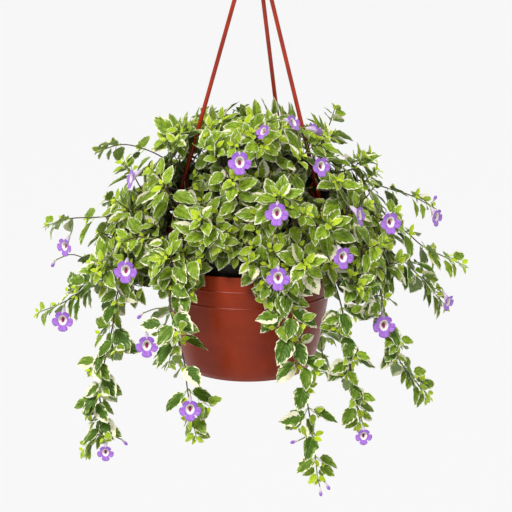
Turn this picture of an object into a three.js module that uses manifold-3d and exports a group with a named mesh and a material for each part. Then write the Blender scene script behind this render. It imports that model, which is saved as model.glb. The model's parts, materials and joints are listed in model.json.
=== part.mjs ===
// Hanging pot of variegated chinese violet: pot, nursery liner, soil, hook with three arms,
// leafy stems rooted in the soil, and violet trumpet blooms. Millimetres, +Z up.
// Sizes below are in the pot's own frame: z = 0 under the pot, +X right, +Y away from the front.
// The finished group is moved so that its origin is the point where the hook bears.

import * as THREE from 'three';
import { mergeVertices } from 'three/addons/utils/BufferGeometryUtils.js';
import Module from 'manifold-3d';

const wasm = await Module();
wasm.setup();

// Driving dimensions of the pot and what stands in it
const GAP = 0.3;
const POT_SIDES = 26;
const POT_HEIGHT = 166;
const POT_OUTLINE = [[92, 0], [98, 8], [104, 25], [115, 70], [124, 124], [126, 137], [126, POT_HEIGHT]];
const POT_INSIDE = [[92, 7], [112, 70], [123.4, 137], [123.4, POT_HEIGHT]];
const FOOT_HEIGHT = 4;
const FOOT_WIDTH = 9;
const FOOT_NOTCHES = 4;
const FIRST_NOTCH = -68;
const NOTCH_WIDTH = 18;
const DRAIN_HOLES = 4;
const DRAIN_RADIUS = 5;
const DRAIN_CIRCLE = 52;
const FIRST_DRAIN = 45;
const LINER_SIDES = 24;
const LINER_TOP = 187;
const LINER_TOP_RADIUS = 117.5;
const LINER_LIP = 1.8;
const LINER_LIP_HEIGHT = 4;
const LINER_WALL = 1.6;
const LINER_BOTTOM_RADIUS = 84;
const SOIL_EDGE = 168;
const SOIL_TOP = 172;
const SOIL_SIDES = 16;
const ROOT_DEPTH = 18;
const ROOT_CIRCLES = [74, 48, 92];
const SOCKET_SIDES = 4;
const COLLAR_RISE = 5;
const OVERCUT = 1;

// Driving dimensions of the hanger
const HOOK_X = 9.8;
const HOOK_BEARING = 700;
const HOOK_ROD = 3.3;
const HOOK_LOOP = 17;
const HOOK_START = -48;
const HOOK_TIP = 208;
const APEX_HEIGHT = 653.8;
const HUB_BOTTOM = 606;
const HUB_TOP = 640;
const HUB_RADIUS = 15.5;
const HUB_SIDES = 12;
const HUB_OUTLINE = [[14, HUB_BOTTOM], [HUB_RADIUS, 608], [14.5, 622], [7, 636], [5, HUB_TOP]];
const HOOK_TURNS = 10;
const ROD_SIDES = 6;
const ARM_TOP = 626;
const ARM_RADIUS = 3.1;
const EAR_CIRCLE = 131;
const EAR_TOP = 162;
const EAR_THICK = 4;
const EAR_SIZE = 14;
const SPIGOT_RADIUS = 1.9;
const EAR_HOLE = 2.6;
const BARB_RADIUS = 3.9;
const BARB_HEIGHT = 7;
const BARB_TIP = 1.2;
const ARM_STRAIGHT = 7;
const ARM_BEND = 24;
const EYE_TOP = 286;
const EYE_WIDTH = 11;
const EYE_HEIGHT = 26;
const FINGER_RADIUS = 1.9;
const FINGER_LINE = [[0, 0], [0.3, 0.75], [0.6, 1], [1, 0.55]];
const ARM_BEARINGS = { left: 182, right: 356, back: 57.5 };

// Driving dimensions of the plant
const STEM_RADIUS = 1.5;
const SHOOT_RADIUS = 1.15;
const PEDICEL_RADIUS = 0.9;
const STEM_SIDES = 3;
const NODE_STEP = 38;
const BLADE = 0.7;
const COLLAR = 0.9;
const STRAIGHT = 0.4;
const MOST_TWIST = 0.6;
const DEEPEST_LEAF = 0.87;
const LEAF_SIZES = [18, 38, 46, 50, 52];
const SMALLEST_LEAF = 33;
const TIP_STEP = 13;
const DOME = { x: 245, front: 185, back: 210, up: 225, base: 165 };
const ROSETTES = 54;
const LEAF_CLEAR = 6.2;
const OWN_CLEAR = 4.2;
const STEM_CLEAR = 4.4;
const SHOOT_CLEAR = 5;
const BLOOM_RADIUS = 18;
const BLOOM_TUBE = 22;
const TUBE_RISE = 40;
const CALYX_LENGTH = 7;
const CALYX_SWELL = [1, 1, 1, 2.6];
const LOBE_REACH = 0.97;
const LOW_LOBE_REACH = 1.06;
const LOBE_EDGE = [[-36, 0.55, -1.6], [-22, 0.9, 0], [0, 1, 0.4], [22, 0.9, 0]];
const LOBE_THICK = 0.9;
const THROAT = { radius: 4.4, depth: 3.4, end: 13 };
const TUBE_MOUTH = { radius: 5.8, depth: 5.6, lift: 1.2 };
const TUBE_HEEL = 1.9;
const BUD_LENGTH = 15;
const BUD_RADIUS = 2.6;
const BUD_SEAT = 0.3;

// Rules of the leaves: outline as shares of the length, fold and curl, droop, and how pairs turn
const LEAF_EDGE = [[0.38, 0.25], [0.6, 0.185], [0.66, 0.225]];
const SMALL_LEAF_EDGE = [[0.38, 0.25], [0.62, 0.19]];
const SMALL_LEAF = 48;
const LEAF_FOLD = 0.28;
const LEAF_CURL = 0.1;
const LEAF_DROOP = { least: 0.1, perSize: 0.0042 };
const LEAF_ROLL = 0.5;
const LEAF_SPREAD = { least: 0.9, range: 0.16 };
const LEAF_LEAN = { least: 0.42, range: 0.2 };
const LEAF_GRADE = 28;
const STEEPEST = 0.55;
const PAIR_TURN = 45;
const PAIR_SQUEEZE = { from: 0.45, over: 0.4, by: 20 };
const LIGHT = { out: 0.6, up: 0.8, least: 0.12, spare: [0.3, -0.9, 0.2] };
const SPIN_TRIES = [0, 16, -16, 32, -32, 50, -50];
const LEAN_TRIES = [0, 0.25, -0.25, 0.5];
const SIZE_TRIES = [1, 0.86];
const LEAF_GAP = 0.4;
const OWN_LEAF_GAP = 0.05;
const LEAF_PROBES = [[0.22, 0], [0.38, 0], [0.54, 0], [0.7, 0], [0.85, 0], [1, 0],
  [0.38, 0.13], [0.54, 0.12], [0.7, 0.1], [0.42, 0.23], [0.38, -0.13], [0.54, -0.12], [0.7, -0.1],
  [0.42, -0.23]];

// Rules of the side shoots, and of the stalks of blooms and buds
const ROSETTE_SEED = 900;
const STEM_SEED = 100;
const SHOOT_SEED = 1000;
const SEED_STEP = 40;
const GOLDEN_TURN = Math.PI * (3 - Math.sqrt(5));
const ROSETTE_FALL = 0.93;
const ROSETTE_LOWEST = -0.12;
const ROSETTE_LEVEL = { least: 0.93, range: 0.08 };
const ROSETTE_STRAY = { turn: 0.16, rise: 0.08 };
const ROSETTE_LIFT = 0.25;
const BARE_FRONT = { half: 0.42, rise: 0.26 };
const TIP_FROM_STEM = 36;
const TIP_FROM_SHOOT = 44;
const SHOOT_REACH = { least: 34, most: 150, direct: 55 };
const SHOOT_TURN = { least: -0.2, worth: 35 };
const SHOOT_TRIES = 14;
const SHOOT_BOW = { start: 0.38, end: 0.4 };
const SHOOT_APPROACH = { far: 1.7, near: 0.75 };
const STALK_MOST = 120;
const STALK_TURN_WORTH = 22;
const STALK_TRIES = 24;
const STALK_BOW = { lead: 0.3, share: 0.6 };
const BLOOM_STALK = 12;
const BUD_STALK = 8;
const THREAD = 5;
const SHOOT_AIR = 4;
const STALK_AIR = 3;
const LEAF_AIR = 4.5;
const BLOOM_AIR = { leaf: 3, shoot: 2 };
const BLOOM_ROOM = { behind: -5, face: 10, ahead: 48, cone: 0.72, tube: 6 };
const THIRD = (2 * Math.PI) / STEM_SIDES;
const RING = Array.from({ length: STEM_SIDES }, (_, corner) => corner);

// Leafy stems: name, and the points that each passes on its way from the soil to its tip
const STEMS = [
  ['trail_far_left', [[-120, -22, 212], [-190, -30, 170], [-261, -12, 110], [-318, 0, 82]]],
  ['trail_left', [[-125, -45, 215], [-185, -58, 150], [-202, -60, 70], [-222, -50, -18], [-224, -42, -88],
    [-252, -32, -128]]],
  ['trail_inner_left', [[-96, -92, 205], [-112, -138, 150], [-104, -150, 100], [-92, -150, 55],
    [-86, -150, 0], [-74, -150, -70]]],
  ['trail_front', [[40, -95, 210], [52, -145, 158], [60, -156, 95], [78, -157, 32], [95, -154, -68],
    [102, -152, -131]]],
  ['trail_inner_right', [[90, -76, 212], [128, -112, 148], [144, -110, 70], [152, -104, 13],
    [168, -96, -70]]],
  ['trail_right', [[120, -50, 218], [182, -72, 168], [207, -66, 80], [228, -60, 20], [274, -44, -38]]],
  ['arch_right_low', [[128, 14, 208], [221, 0, 172], [280, 16, 112], [304, 26, 84]]],
  ['arch_right', [[130, 25, 240], [228, 12, 210], [267, 14, 180], [330, 20, 150]]],
  ['arch_right_high', [[125, 48, 275], [230, 56, 258], [284, 62, 232]]],
  ['arch_left', [[-118, 14, 240], [-207, 12, 228], [-270, 25, 222], [-306, 30, 210]]],
  ['crown_left_high', [[-105, 50, 290], [-180, 78, 326], [-232, 84, 314]]],
  ['crown_left', [[-75, 62, 285], [-128, 90, 346]]],
  ['crown_mid_left', [[-42, 62, 290], [-66, 92, 378]]],
  ['crown_mid', [[-4, 38, 290], [-5, 58, 388]]],
  ['crown_right', [[58, 28, 275], [105, 48, 320], [132, 58, 388]]],
  ['crown_right_outer', [[108, 66, 270], [190, 78, 312]]],
  ['dome_front_high', [[-22, -38, 250], [-46, -84, 352]]],
  ['dome_right_high', [[34, -42, 250], [78, -92, 340]]],
  ['dome_left_high', [[-78, -34, 240], [-142, -66, 316]]],
  ['dome_front', [[-34, -92, 222], [-70, -148, 262]]],
  ['dome_front_right', [[52, -98, 226], [84, -148, 268]]],
  ['dome_right', [[104, -66, 226], [176, -92, 268]]],
  ['dome_left', [[-112, -72, 220], [-184, -98, 214]]],
  ['back_trail_left', [[-72, 104, 214], [-108, 160, 150], [-116, 176, 70], [-122, 180, -2],
    [-132, 186, -60]]],
  ['back_trail_right', [[76, 108, 214], [104, 166, 152], [110, 182, 66], [118, 188, -10],
    [124, 196, -74]]],
  ['back_dome_left', [[-66, 86, 240], [-112, 158, 286]]],
  ['back_dome_right', [[52, 96, 240], [82, 168, 282]]],
];

// Blooms: name, centre of the face, direction that it faces, size against a full bloom
const BLOOMS = [
  ['crown_front', [-11, -131, 336], [0.05, -0.95, 0.2], 1],
  ['upper_front', [41, -172, 271], [-0.08, -0.97, 0.12], 1],
  ['rim_front', [43, -192, 183], [0.02, -0.98, 0.1], 1],
  ['front_right', [135, -163, 206], [0.42, -0.88, 0.06], 0.95],
  ['right_upper', [206, -100, 243], [0.3, -0.9, 0.1], 0.95],
  ['right_turned', [160, -132, 260], [0.85, -0.45, 0.1], 0.85],
  ['arch_right_top', [283, -4, 231], [0.72, -0.6, -0.1], 0.8],
  ['arch_right_tip', [304, 0, 98], [0.7, -0.62, -0.25], 0.78],
  ['trail_right_upper', [199, -100, 89], [0.1, -0.98, 0], 1],
  ['inner_right_tip', [170, -126, -72], [0.1, -0.95, -0.1], 0.75],
  ['crown_right', [105, -118, 328], [0.45, -0.85, 0.15], 0.85],
  ['crown_turned', [66, -70, 384], [0.62, -0.45, 0.5], 0.8],
  ['crown_hidden', [22, -92, 374], [-0.5, -0.6, 0.45], 0.7],
  ['crown_behind', [98, -58, 372], [0.55, 0.4, 0.45], 0.8],
  ['left_turned', [-168, -92, 306], [-0.85, -0.35, 0.15], 0.85],
  ['arch_left_tip', [-274, -22, 190], [-0.55, -0.78, -0.12], 0.85],
  ['left_front', [-175, -128, 178], [-0.1, -0.97, 0.05], 1],
  ['far_left', [-276, -52, 84], [-0.08, -0.97, -0.05], 0.95],
  ['inner_left_upper', [-144, -158, 75], [0.05, -0.98, 0], 0.95],
  ['inner_left_tip', [-82, -184, -12], [0.02, -0.98, -0.05], 0.95],
  ['trail_left_tip', [-214, -74, -116], [0, -0.96, -0.15], 0.75],
  ['back_upper', [20, 186, 300], [0.05, 0.93, 0.3], 1],
  ['back_left', [-150, 176, 236], [-0.45, 0.86, 0.15], 0.95],
  ['back_right', [176, 160, 226], [0.5, 0.82, 0.1], 0.95],
  ['back_low', [96, 214, 84], [-0.1, 0.97, -0.05], 0.9],
];

// Closed buds: centre and the direction that each points
const BUDS = [
  [[-292, -4, 160], [-0.5, -0.2, -0.85]],
  [[-188, -48, -108], [0.7, -0.3, -0.6]],
  [[68, -166, -67], [-0.85, -0.4, -0.1]],
  [[106, -158, -146], [0.1, -0.2, -0.95]],
  [[116, -150, -140], [0.5, -0.2, -0.85]],
  [[284, 52, 246], [0.4, -0.2, 0.9]],
  [[-155, -116, 108], [-0.6, -0.5, -0.5]],
];

const rad = THREE.MathUtils.degToRad;
const v3 = (x, y, z) => new THREE.Vector3(x, y, z);
const UP = v3(0, 0, 1);

const colours = {
  pot: [0x8f3a20, 0.5],
  liner: [0x15140f, 0.55],
  soil: [0x2c2118, 0.95],
  hanger: [0xb8401c, 0.45],
  foliage: [0x6f9440, 0.6],
  bloom: [0xaf6eeb, 0.6],
};

// Turns a closed geometry into a solid that can be joined and cut
function solidOf(geometry) {
  const bare = geometry.clone();
  bare.deleteAttribute('normal');
  bare.deleteAttribute('uv');
  const merged = mergeVertices(bare, 1e-4);
  const corners = Array.from(merged.index.array);
  const faces = [];
  for (let k = 0; k < corners.length; k += 3) {
    const [a, b, c] = corners.slice(k, k + 3);
    if (a !== b && b !== c && c !== a) faces.push(a, b, c);
  }
  return new wasm.Manifold(new wasm.Mesh({
    numProp: 3,
    vertProperties: new Float32Array(merged.attributes.position.array),
    triVerts: new Uint32Array(faces),
  }));
}

// Turns a solid back into a geometry
function geometryOf(solid) {
  const mesh = solid.getMesh();
  const geometry = new THREE.BufferGeometry();
  geometry.setAttribute('position', new THREE.BufferAttribute(new Float32Array(mesh.vertProperties), 3));
  geometry.setIndex(new THREE.BufferAttribute(new Uint32Array(mesh.triVerts), 1));
  return geometry;
}

function joined(solids) {
  return solids.reduce((whole, solid) => whole.add(solid));
}

function meshOf(name, shape, colour) {
  const geometry = shape.isBufferGeometry ? shape : geometryOf(shape);
  geometry.computeVertexNormals();
  const [tint, roughness] = colours[colour];
  const material = new THREE.MeshStandardMaterial({ color: tint, roughness, metalness: 0 });
  const mesh = new THREE.Mesh(geometry, material);
  mesh.name = name;
  return mesh;
}

// A solid of revolution about +Z from a closed [radius, height] profile
function turned(profile, sides) {
  const geometry = new THREE.LatheGeometry(profile.map(([r, z]) => new THREE.Vector2(r, z)), sides);
  geometry.rotateX(Math.PI / 2);
  return solidOf(geometry);
}

// A plain round rod from one point to another, which may taper
function rod(from, to, startRadius, endRadius, sides) {
  const along = to.clone().sub(from);
  const geometry = new THREE.CylinderGeometry(endRadius, startRadius, along.length(), sides);
  geometry.translate(0, along.length() / 2, 0);
  geometry.applyQuaternion(new THREE.Quaternion().setFromUnitVectors(v3(0, 1, 0), along.normalize()));
  geometry.translate(from.x, from.y, from.z);
  return solidOf(geometry);
}

// A path of straight lengths whose corners carry the sections of a tube
class NodePath extends THREE.Curve {
  constructor(points) {
    super();
    this.points = points;
  }

  getPoint(t) {
    const place = t * (this.points.length - 1);
    const index = Math.min(Math.floor(place + 1e-9), this.points.length - 2);
    return this.points[index].clone().lerp(this.points[index + 1], place - index);
  }

  getPointAt(t) {
    return this.getPoint(t);
  }

  getTangentAt(t) {
    return tangentAt(this.points, Math.round(t * (this.points.length - 1)));
  }
}

function tangentAt(points, index) {
  const before = points[Math.max(index - 1, 0)];
  const after = points[Math.min(index + 1, points.length - 1)];
  return after.clone().sub(before).normalize();
}

// A tube of few sides along a path of points, with a swelling factor for each point where given
function tube(points, radius, sides, swell = []) {
  const section = new THREE.Shape();
  for (let k = 0; k < sides; k += 1) {
    const angle = (k / sides) * 2 * Math.PI;
    const place = [radius * Math.cos(angle), radius * Math.sin(angle)];
    if (k === 0) section.moveTo(...place);
    else section.lineTo(...place);
  }
  const options = { steps: points.length - 1, extrudePath: new NodePath(points), bevelEnabled: false };
  const geometry = new THREE.ExtrudeGeometry(section, options);
  if (swell.length > 0) swellRings(geometry.attributes.position, points, radius, swell);
  return solidOf(geometry);
}

function swellRings(positions, points, radius, swell) {
  for (let k = 0; k < positions.count; k += 1) {
    const corner = new THREE.Vector3().fromBufferAttribute(positions, k);
    const ring = points.findIndex((point) => Math.abs(point.distanceTo(corner) - radius) < 0.001);
    if (ring >= 0) corner.sub(points[ring]).multiplyScalar(swell[ring]).add(points[ring]);
    positions.setXYZ(k, ...corner.toArray());
  }
}

// Random draws that are the same every time for one seed
function seeded(seed) {
  let state = seed >>> 0;
  return () => {
    state = (Math.imul(state, 1664525) + 1013904223) >>> 0;
    return state / 4294967296;
  };
}

// Pot: tapered shell with a rim band, a notched foot ring, drain holes and three ears
function potRadius(z) {
  const upper = POT_OUTLINE.findIndex(([, height]) => height > z);
  if (upper < 1) return upper === 0 ? POT_OUTLINE[0][0] : POT_OUTLINE.at(-1)[0];
  const [r0, z0] = POT_OUTLINE[upper - 1];
  const [r1, z1] = POT_OUTLINE[upper];
  return r0 + ((r1 - r0) * (z - z0)) / (z1 - z0);
}

function onCircle(radius, degrees, z) {
  return v3(radius * Math.cos(rad(degrees)), radius * Math.sin(rad(degrees)), z);
}

function makePot() {
  const footInner = POT_OUTLINE[0][0] - FOOT_WIDTH;
  const outside = [[0, FOOT_HEIGHT], [footInner, FOOT_HEIGHT], [footInner, 0], ...POT_OUTLINE];
  let pot = turned([...outside, [0, POT_HEIGHT]], POT_SIDES);
  for (const bearing of Object.values(ARM_BEARINGS)) {
    const ear = new THREE.BoxGeometry(EAR_SIZE, EAR_SIZE, EAR_THICK);
    ear.translate(EAR_CIRCLE, 0, EAR_TOP - EAR_THICK / 2);
    ear.rotateZ(rad(bearing));
    pot = pot.add(solidOf(ear));
  }
  const [, floorTop] = POT_INSIDE[0];
  const open = POT_HEIGHT + OVERCUT;
  const inside = [[0, floorTop], ...POT_INSIDE.slice(0, -1), [POT_INSIDE.at(-1)[0], open], [0, open]];
  pot = pot.subtract(turned(inside, POT_SIDES));
  for (const bearing of Object.values(ARM_BEARINGS)) {
    const hole = onCircle(EAR_CIRCLE, bearing, EAR_TOP - EAR_THICK - OVERCUT);
    pot = pot.subtract(rod(hole, hole.clone().setZ(EAR_TOP + OVERCUT), EAR_HOLE, EAR_HOLE, ROD_SIDES));
  }
  for (let k = 0; k < FOOT_NOTCHES; k += 1) {
    const notch = new THREE.BoxGeometry(4 * FOOT_WIDTH, NOTCH_WIDTH, FOOT_HEIGHT);
    notch.translate(POT_OUTLINE[0][0], 0, FOOT_HEIGHT / 2 - OVERCUT);
    notch.rotateZ(rad(FIRST_NOTCH + (k * 360) / FOOT_NOTCHES));
    pot = pot.subtract(solidOf(notch));
  }
  return drained(pot, FOOT_HEIGHT - OVERCUT, floorTop + OVERCUT);
}

function drained(body, bottom, top) {
  let cut = body;
  for (let k = 0; k < DRAIN_HOLES; k += 1) {
    const hole = onCircle(DRAIN_CIRCLE, FIRST_DRAIN + (k * 360) / DRAIN_HOLES, bottom);
    cut = cut.subtract(rod(hole, hole.clone().setZ(top), DRAIN_RADIUS, DRAIN_RADIUS, ROD_SIDES));
  }
  return cut;
}

// Liner: the thin dark pot that the plant grew in, which stands on the pot's floor
const LINER_BOTTOM = POT_INSIDE[0][1] + GAP;

function linerRadius(z) {
  const share = (z - LINER_BOTTOM) / (LINER_TOP - LINER_BOTTOM);
  return LINER_BOTTOM_RADIUS + (LINER_TOP_RADIUS - LINER_BOTTOM_RADIUS) * share;
}

function makeLiner() {
  const lipBottom = LINER_TOP - LINER_LIP_HEIGHT;
  const floorTop = LINER_BOTTOM + LINER_WALL;
  const liner = turned([
    [0, LINER_BOTTOM],
    [LINER_BOTTOM_RADIUS, LINER_BOTTOM],
    [linerRadius(lipBottom), lipBottom],
    [linerRadius(lipBottom) + LINER_LIP, lipBottom],
    [LINER_TOP_RADIUS + LINER_LIP, LINER_TOP],
    [LINER_TOP_RADIUS - LINER_WALL, LINER_TOP],
    [linerRadius(floorTop) - LINER_WALL, floorTop],
    [0, floorTop],
  ], LINER_SIDES);
  return drained(liner, LINER_BOTTOM - OVERCUT, floorTop + OVERCUT);
}

// Soil: fills the liner, a little raised in the middle, with a plain hole for each stem
function makeSoil(roots) {
  const bottom = LINER_BOTTOM + LINER_WALL + GAP;
  const inset = LINER_WALL + GAP + linerRadius(SOIL_TOP) * (1 - Math.cos(Math.PI / LINER_SIDES));
  let soil = turned([
    [0, bottom],
    [linerRadius(bottom) - inset, bottom],
    [linerRadius(SOIL_EDGE) - inset, SOIL_EDGE],
    [0, SOIL_TOP],
  ], SOIL_SIDES);
  for (const root of roots) {
    const socket = root.clone().setZ(root.z - OVERCUT);
    const width = (STEM_RADIUS + GAP) / Math.cos(Math.PI / SOCKET_SIDES);
    soil = soil.subtract(rod(socket, socket.clone().setZ(SOIL_TOP + OVERCUT), width, width, SOCKET_SIDES));
  }
  return soil;
}

// Hanger: the hook with its hub, and three arms that plug into the hub and clip under the ears
function armLine(bearing) {
  const ear = onCircle(EAR_CIRCLE, bearing, EAR_TOP);
  const apex = v3(HOOK_X, 0, APEX_HEIGHT);
  const at = (z) => apex.clone().lerp(ear, (APEX_HEIGHT - z) / (APEX_HEIGHT - EAR_TOP));
  return { ear, at };
}

function makeHook() {
  const loopCentre = HOOK_BEARING - (HOOK_LOOP - HOOK_ROD);
  const path = [v3(HOOK_X, 0, HUB_TOP - 6), v3(HOOK_X, 0, HUB_TOP + 8)];
  for (let k = 0; k <= HOOK_TURNS; k += 1) {
    const angle = rad(HOOK_START + ((HOOK_TIP - HOOK_START) * k) / HOOK_TURNS);
    path.push(v3(HOOK_X + HOOK_LOOP * Math.cos(angle), 0, loopCentre + HOOK_LOOP * Math.sin(angle)));
  }
  const hub = turned([[0, HUB_BOTTOM], ...HUB_OUTLINE, [0, HUB_TOP]], HUB_SIDES).translate([HOOK_X, 0, 0]);
  let hook = hub.add(tube(path, HOOK_ROD, ROD_SIDES));
  for (const bearing of Object.values(ARM_BEARINGS)) {
    const { at } = armLine(bearing);
    const width = (ARM_RADIUS + GAP) / Math.cos(Math.PI / ROD_SIDES);
    hook = hook.subtract(rod(at(HUB_BOTTOM - 4 * OVERCUT), at(ARM_TOP + GAP), width, width, ROD_SIDES));
  }
  return hook;
}

function makeArm(bearing) {
  const { ear, at } = armLine(bearing);
  const shoulder = ear.clone().setZ(EAR_TOP + GAP);
  const inward = onCircle(1, bearing + 180, 0);
  const straight = ear.clone().setZ(EAR_TOP + ARM_STRAIGHT);
  const line = [at(ARM_TOP), at(EYE_TOP), at(EAR_TOP + ARM_BEND), straight, shoulder];
  const barbTop = ear.clone().setZ(EAR_TOP - EAR_THICK - GAP);
  const barbEnd = barbTop.clone().setZ(barbTop.z - BARB_HEIGHT);
  const finger = FINGER_LINE.map(([fall, out]) => at(EYE_TOP - EYE_HEIGHT * fall)
    .addScaledVector(inward, EYE_WIDTH * out));
  return joined([
    tube(line, ARM_RADIUS, ROD_SIDES),
    rod(straight, barbTop.clone().setZ(barbTop.z - 1), SPIGOT_RADIUS, SPIGOT_RADIUS, ROD_SIDES),
    rod(barbTop, barbEnd, BARB_RADIUS, BARB_TIP, ROD_SIDES),
    tube(finger, FINGER_RADIUS, ROD_SIDES - 1),
  ]);
}

// Plant, part one: where stems, shoots and flower stalks run
function domeLevel(p) {
  const depth = p.y < 0 ? DOME.front : DOME.back;
  const height = Math.max(p.z - DOME.base, 0);
  return Math.hypot(p.x / DOME.x, p.y / depth, height / DOME.up);
}

function lightAt(p) {
  const out = Math.hypot(p.x, p.y) || 1;
  return v3((LIGHT.out * p.x) / out, (LIGHT.out * p.y) / out, LIGHT.up);
}

// Even steps of about the given length along a smooth curve through the points
function evenly(points, step) {
  const curve = [];
  const fine = 24;
  const at = (k) => {
    if (k < 0) return points[0].clone().multiplyScalar(2).sub(points[1]);
    if (k >= points.length) return points.at(-1).clone().multiplyScalar(2).sub(points.at(-2));
    return points[k];
  };
  for (let k = 0; k < points.length - 1; k += 1) {
    const [a, b, c, d] = [at(k - 1), at(k), at(k + 1), at(k + 2)];
    for (let i = 0; i < fine; i += 1) {
      const t = i / fine;
      const point = v3(0, 0, 0);
      for (const axis of ['x', 'y', 'z']) {
        const start = 0.5 * (c[axis] - a[axis]);
        const end = 0.5 * (d[axis] - b[axis]);
        const bend = 3 * (c[axis] - b[axis]) - 2 * start - end;
        const swing = 2 * (b[axis] - c[axis]) + start + end;
        point[axis] = b[axis] + start * t + bend * t * t + swing * t * t * t;
      }
      curve.push(point);
    }
  }
  curve.push(points.at(-1).clone());
  const lengths = [0];
  for (let i = 1; i < curve.length; i += 1) lengths.push(lengths[i - 1] + curve[i].distanceTo(curve[i - 1]));
  const total = lengths.at(-1);
  const count = Math.max(2, Math.round(total / step));
  const result = [];
  let index = 1;
  for (let k = 0; k <= count; k += 1) {
    const goal = (total * k) / count;
    while (index < curve.length - 1 && lengths[index] < goal) index += 1;
    const share = (goal - lengths[index - 1]) / (lengths[index] - lengths[index - 1]);
    result.push(curve[index - 1].clone().lerp(curve[index], share));
  }
  return result;
}

// A grid of points that remembers which plant node each belongs to
class Crowd {
  constructor() {
    this.cell = 8;
    this.cells = new Map();
  }

  key(x, y, z) {
    return `${x},${y},${z}`;
  }

  add(point, owner, kind) {
    const [x, y, z] = point.toArray().map((value) => Math.floor(value / this.cell));
    const key = this.key(x, y, z);
    if (!this.cells.has(key)) this.cells.set(key, []);
    this.cells.get(key).push({ point, owner, kind });
  }

  // True where no remembered point lies nearer than its own clearance
  clear(point, owner, clearance) {
    const [x, y, z] = point.toArray().map((value) => Math.floor(value / this.cell));
    for (let i = x - 1; i <= x + 1; i += 1) {
      for (let j = y - 1; j <= y + 1; j += 1) {
        for (let k = z - 1; k <= z + 1; k += 1) {
          for (const other of this.cells.get(this.key(i, j, k)) ?? []) {
            const limit = clearance(other, owner);
            if (limit > 0 && other.point.distanceToSquared(point) < limit * limit) return false;
          }
        }
      }
    }
    return true;
  }
}

function alongLine(from, to, step) {
  const count = Math.max(1, Math.ceil(from.distanceTo(to) / step));
  return Array.from({ length: count + 1 }, (_, k) => from.clone().lerp(to, k / count));
}

function alongPath(points, step) {
  return points.slice(1).flatMap((point, k) => alongLine(points[k], point, step));
}

// The hard things that leaves and shoots keep away from
const armSegments = Object.values(ARM_BEARINGS).map((bearing) => {
  const { ear, at } = armLine(bearing);
  return new THREE.Line3(at(ARM_TOP), ear);
});

function clearOfHardware(p, gap) {
  const r = Math.hypot(p.x, p.y);
  const lip = LINER_TOP_RADIUS + LINER_LIP + gap;
  if (p.z < POT_HEIGHT + SHOOT_AIR && r < potRadius(Math.max(p.z, 0)) + gap) return false;
  if (p.z < LINER_TOP + gap && r < lip && r > LINER_TOP_RADIUS - LINER_LIP - SHOOT_AIR) return false;
  if (p.z < SOIL_TOP + gap && r < LINER_TOP_RADIUS) return false;
  const nearest = v3(0, 0, 0);
  return armSegments.every((line) => {
    line.closestPointToPoint(p, true, nearest);
    const eye = p.z < EYE_TOP + 8 && p.z > EYE_TOP - EYE_HEIGHT - 8 ? EYE_WIDTH : 0;
    return nearest.distanceTo(p) > ARM_RADIUS + gap * 0.6 + eye;
  });
}

// Each bloom keeps its own room, and open air for a short way before its face
function clearOfBlooms(p, gap) {
  return blooms.every(({ centre, facing, scale, heel }) => {
    const away = p.clone().sub(centre);
    const ahead = away.dot(facing);
    const side = Math.sqrt(Math.max(away.lengthSq() - ahead * ahead, 0));
    const radius = BLOOM_RADIUS * scale;
    const { behind, face, ahead: far, cone, tube: narrow } = BLOOM_ROOM;
    if (ahead > behind && ahead < face) return side > radius + gap;
    if (ahead >= face && ahead < far) return side > radius * cone;
    const onTube = new THREE.Line3(centre, heel).closestPointToPoint(p, true, v3(0, 0, 0));
    return onTube.distanceTo(p) > narrow + gap * 0.5;
  });
}

// A bloom's face looks one way, and its tube runs back from the face and up towards the heel
const blooms = BLOOMS.map(([name, place, pointing, scale]) => {
  const centre = v3(...place);
  const facing = v3(...pointing).normalize();
  const side = UP.clone().cross(facing).normalize();
  const over = facing.clone().cross(side);
  const along = facing.clone().multiplyScalar(Math.cos(rad(TUBE_RISE)))
    .addScaledVector(over, -Math.sin(rad(TUBE_RISE)));
  const heel = centre.clone().addScaledVector(along, -BLOOM_TUBE * scale);
  return { name, centre, facing, side, over, along, scale, heel };
});

const crowd = new Crowd();
const betweenStems = (other, owner) => (other.owner === owner ? 0 : SHOOT_CLEAR);

function remember(points, owner, kind) {
  alongPath(points, THREAD).forEach((point) => crowd.add(point, owner, kind));
}

function shootIsClear(points, owner) {
  return alongPath(points, THREAD).slice(1).every((point) => clearOfHardware(point, SHOOT_AIR)
    && clearOfBlooms(point, BLOOM_AIR.shoot) && crowd.clear(point, owner, betweenStems));
}

function stalkIsClear(points, owner) {
  return alongPath(points, THREAD).slice(1).every((point) => clearOfHardware(point, STALK_AIR)
    && crowd.clear(point, owner, betweenStems));
}

// Main stems: straight up out of the soil, then along their own points
function rootOf(first, index) {
  const radius = ROOT_CIRCLES[index % ROOT_CIRCLES.length];
  const turn = Math.atan2(first.y, first.x);
  return v3(radius * Math.cos(turn), radius * Math.sin(turn), SOIL_TOP - ROOT_DEPTH);
}

const stems = STEMS.map(([name, via], index) => {
  const points = via.map((place) => v3(...place));
  const root = rootOf(points[0], index);
  const collar = root.clone().setZ(SOIL_TOP + COLLAR_RISE);
  const path = [root, ...evenly([collar, ...points], NODE_STEP)];
  remember(path, index, 'stem');
  return { name, index, root, path, shoots: [], stalks: [], buds: [] };
});

// Side shoots: each ends in a rosette on the dome and leaves the main stem that reaches it best
function domePoint(angle, rise, level) {
  const depth = Math.sin(angle) < 0 ? DOME.front : DOME.back;
  const flat = Math.cos(rise) * level;
  return v3(
    DOME.x * flat * Math.cos(angle),
    depth * flat * Math.sin(angle),
    DOME.base + DOME.up * level * Math.sin(rise),
  );
}

function domeNormal(p) {
  const depth = p.y < 0 ? DOME.front : DOME.back;
  return v3(p.x / DOME.x ** 2, p.y / depth ** 2, (p.z - DOME.base) / DOME.up ** 2).normalize();
}

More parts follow.
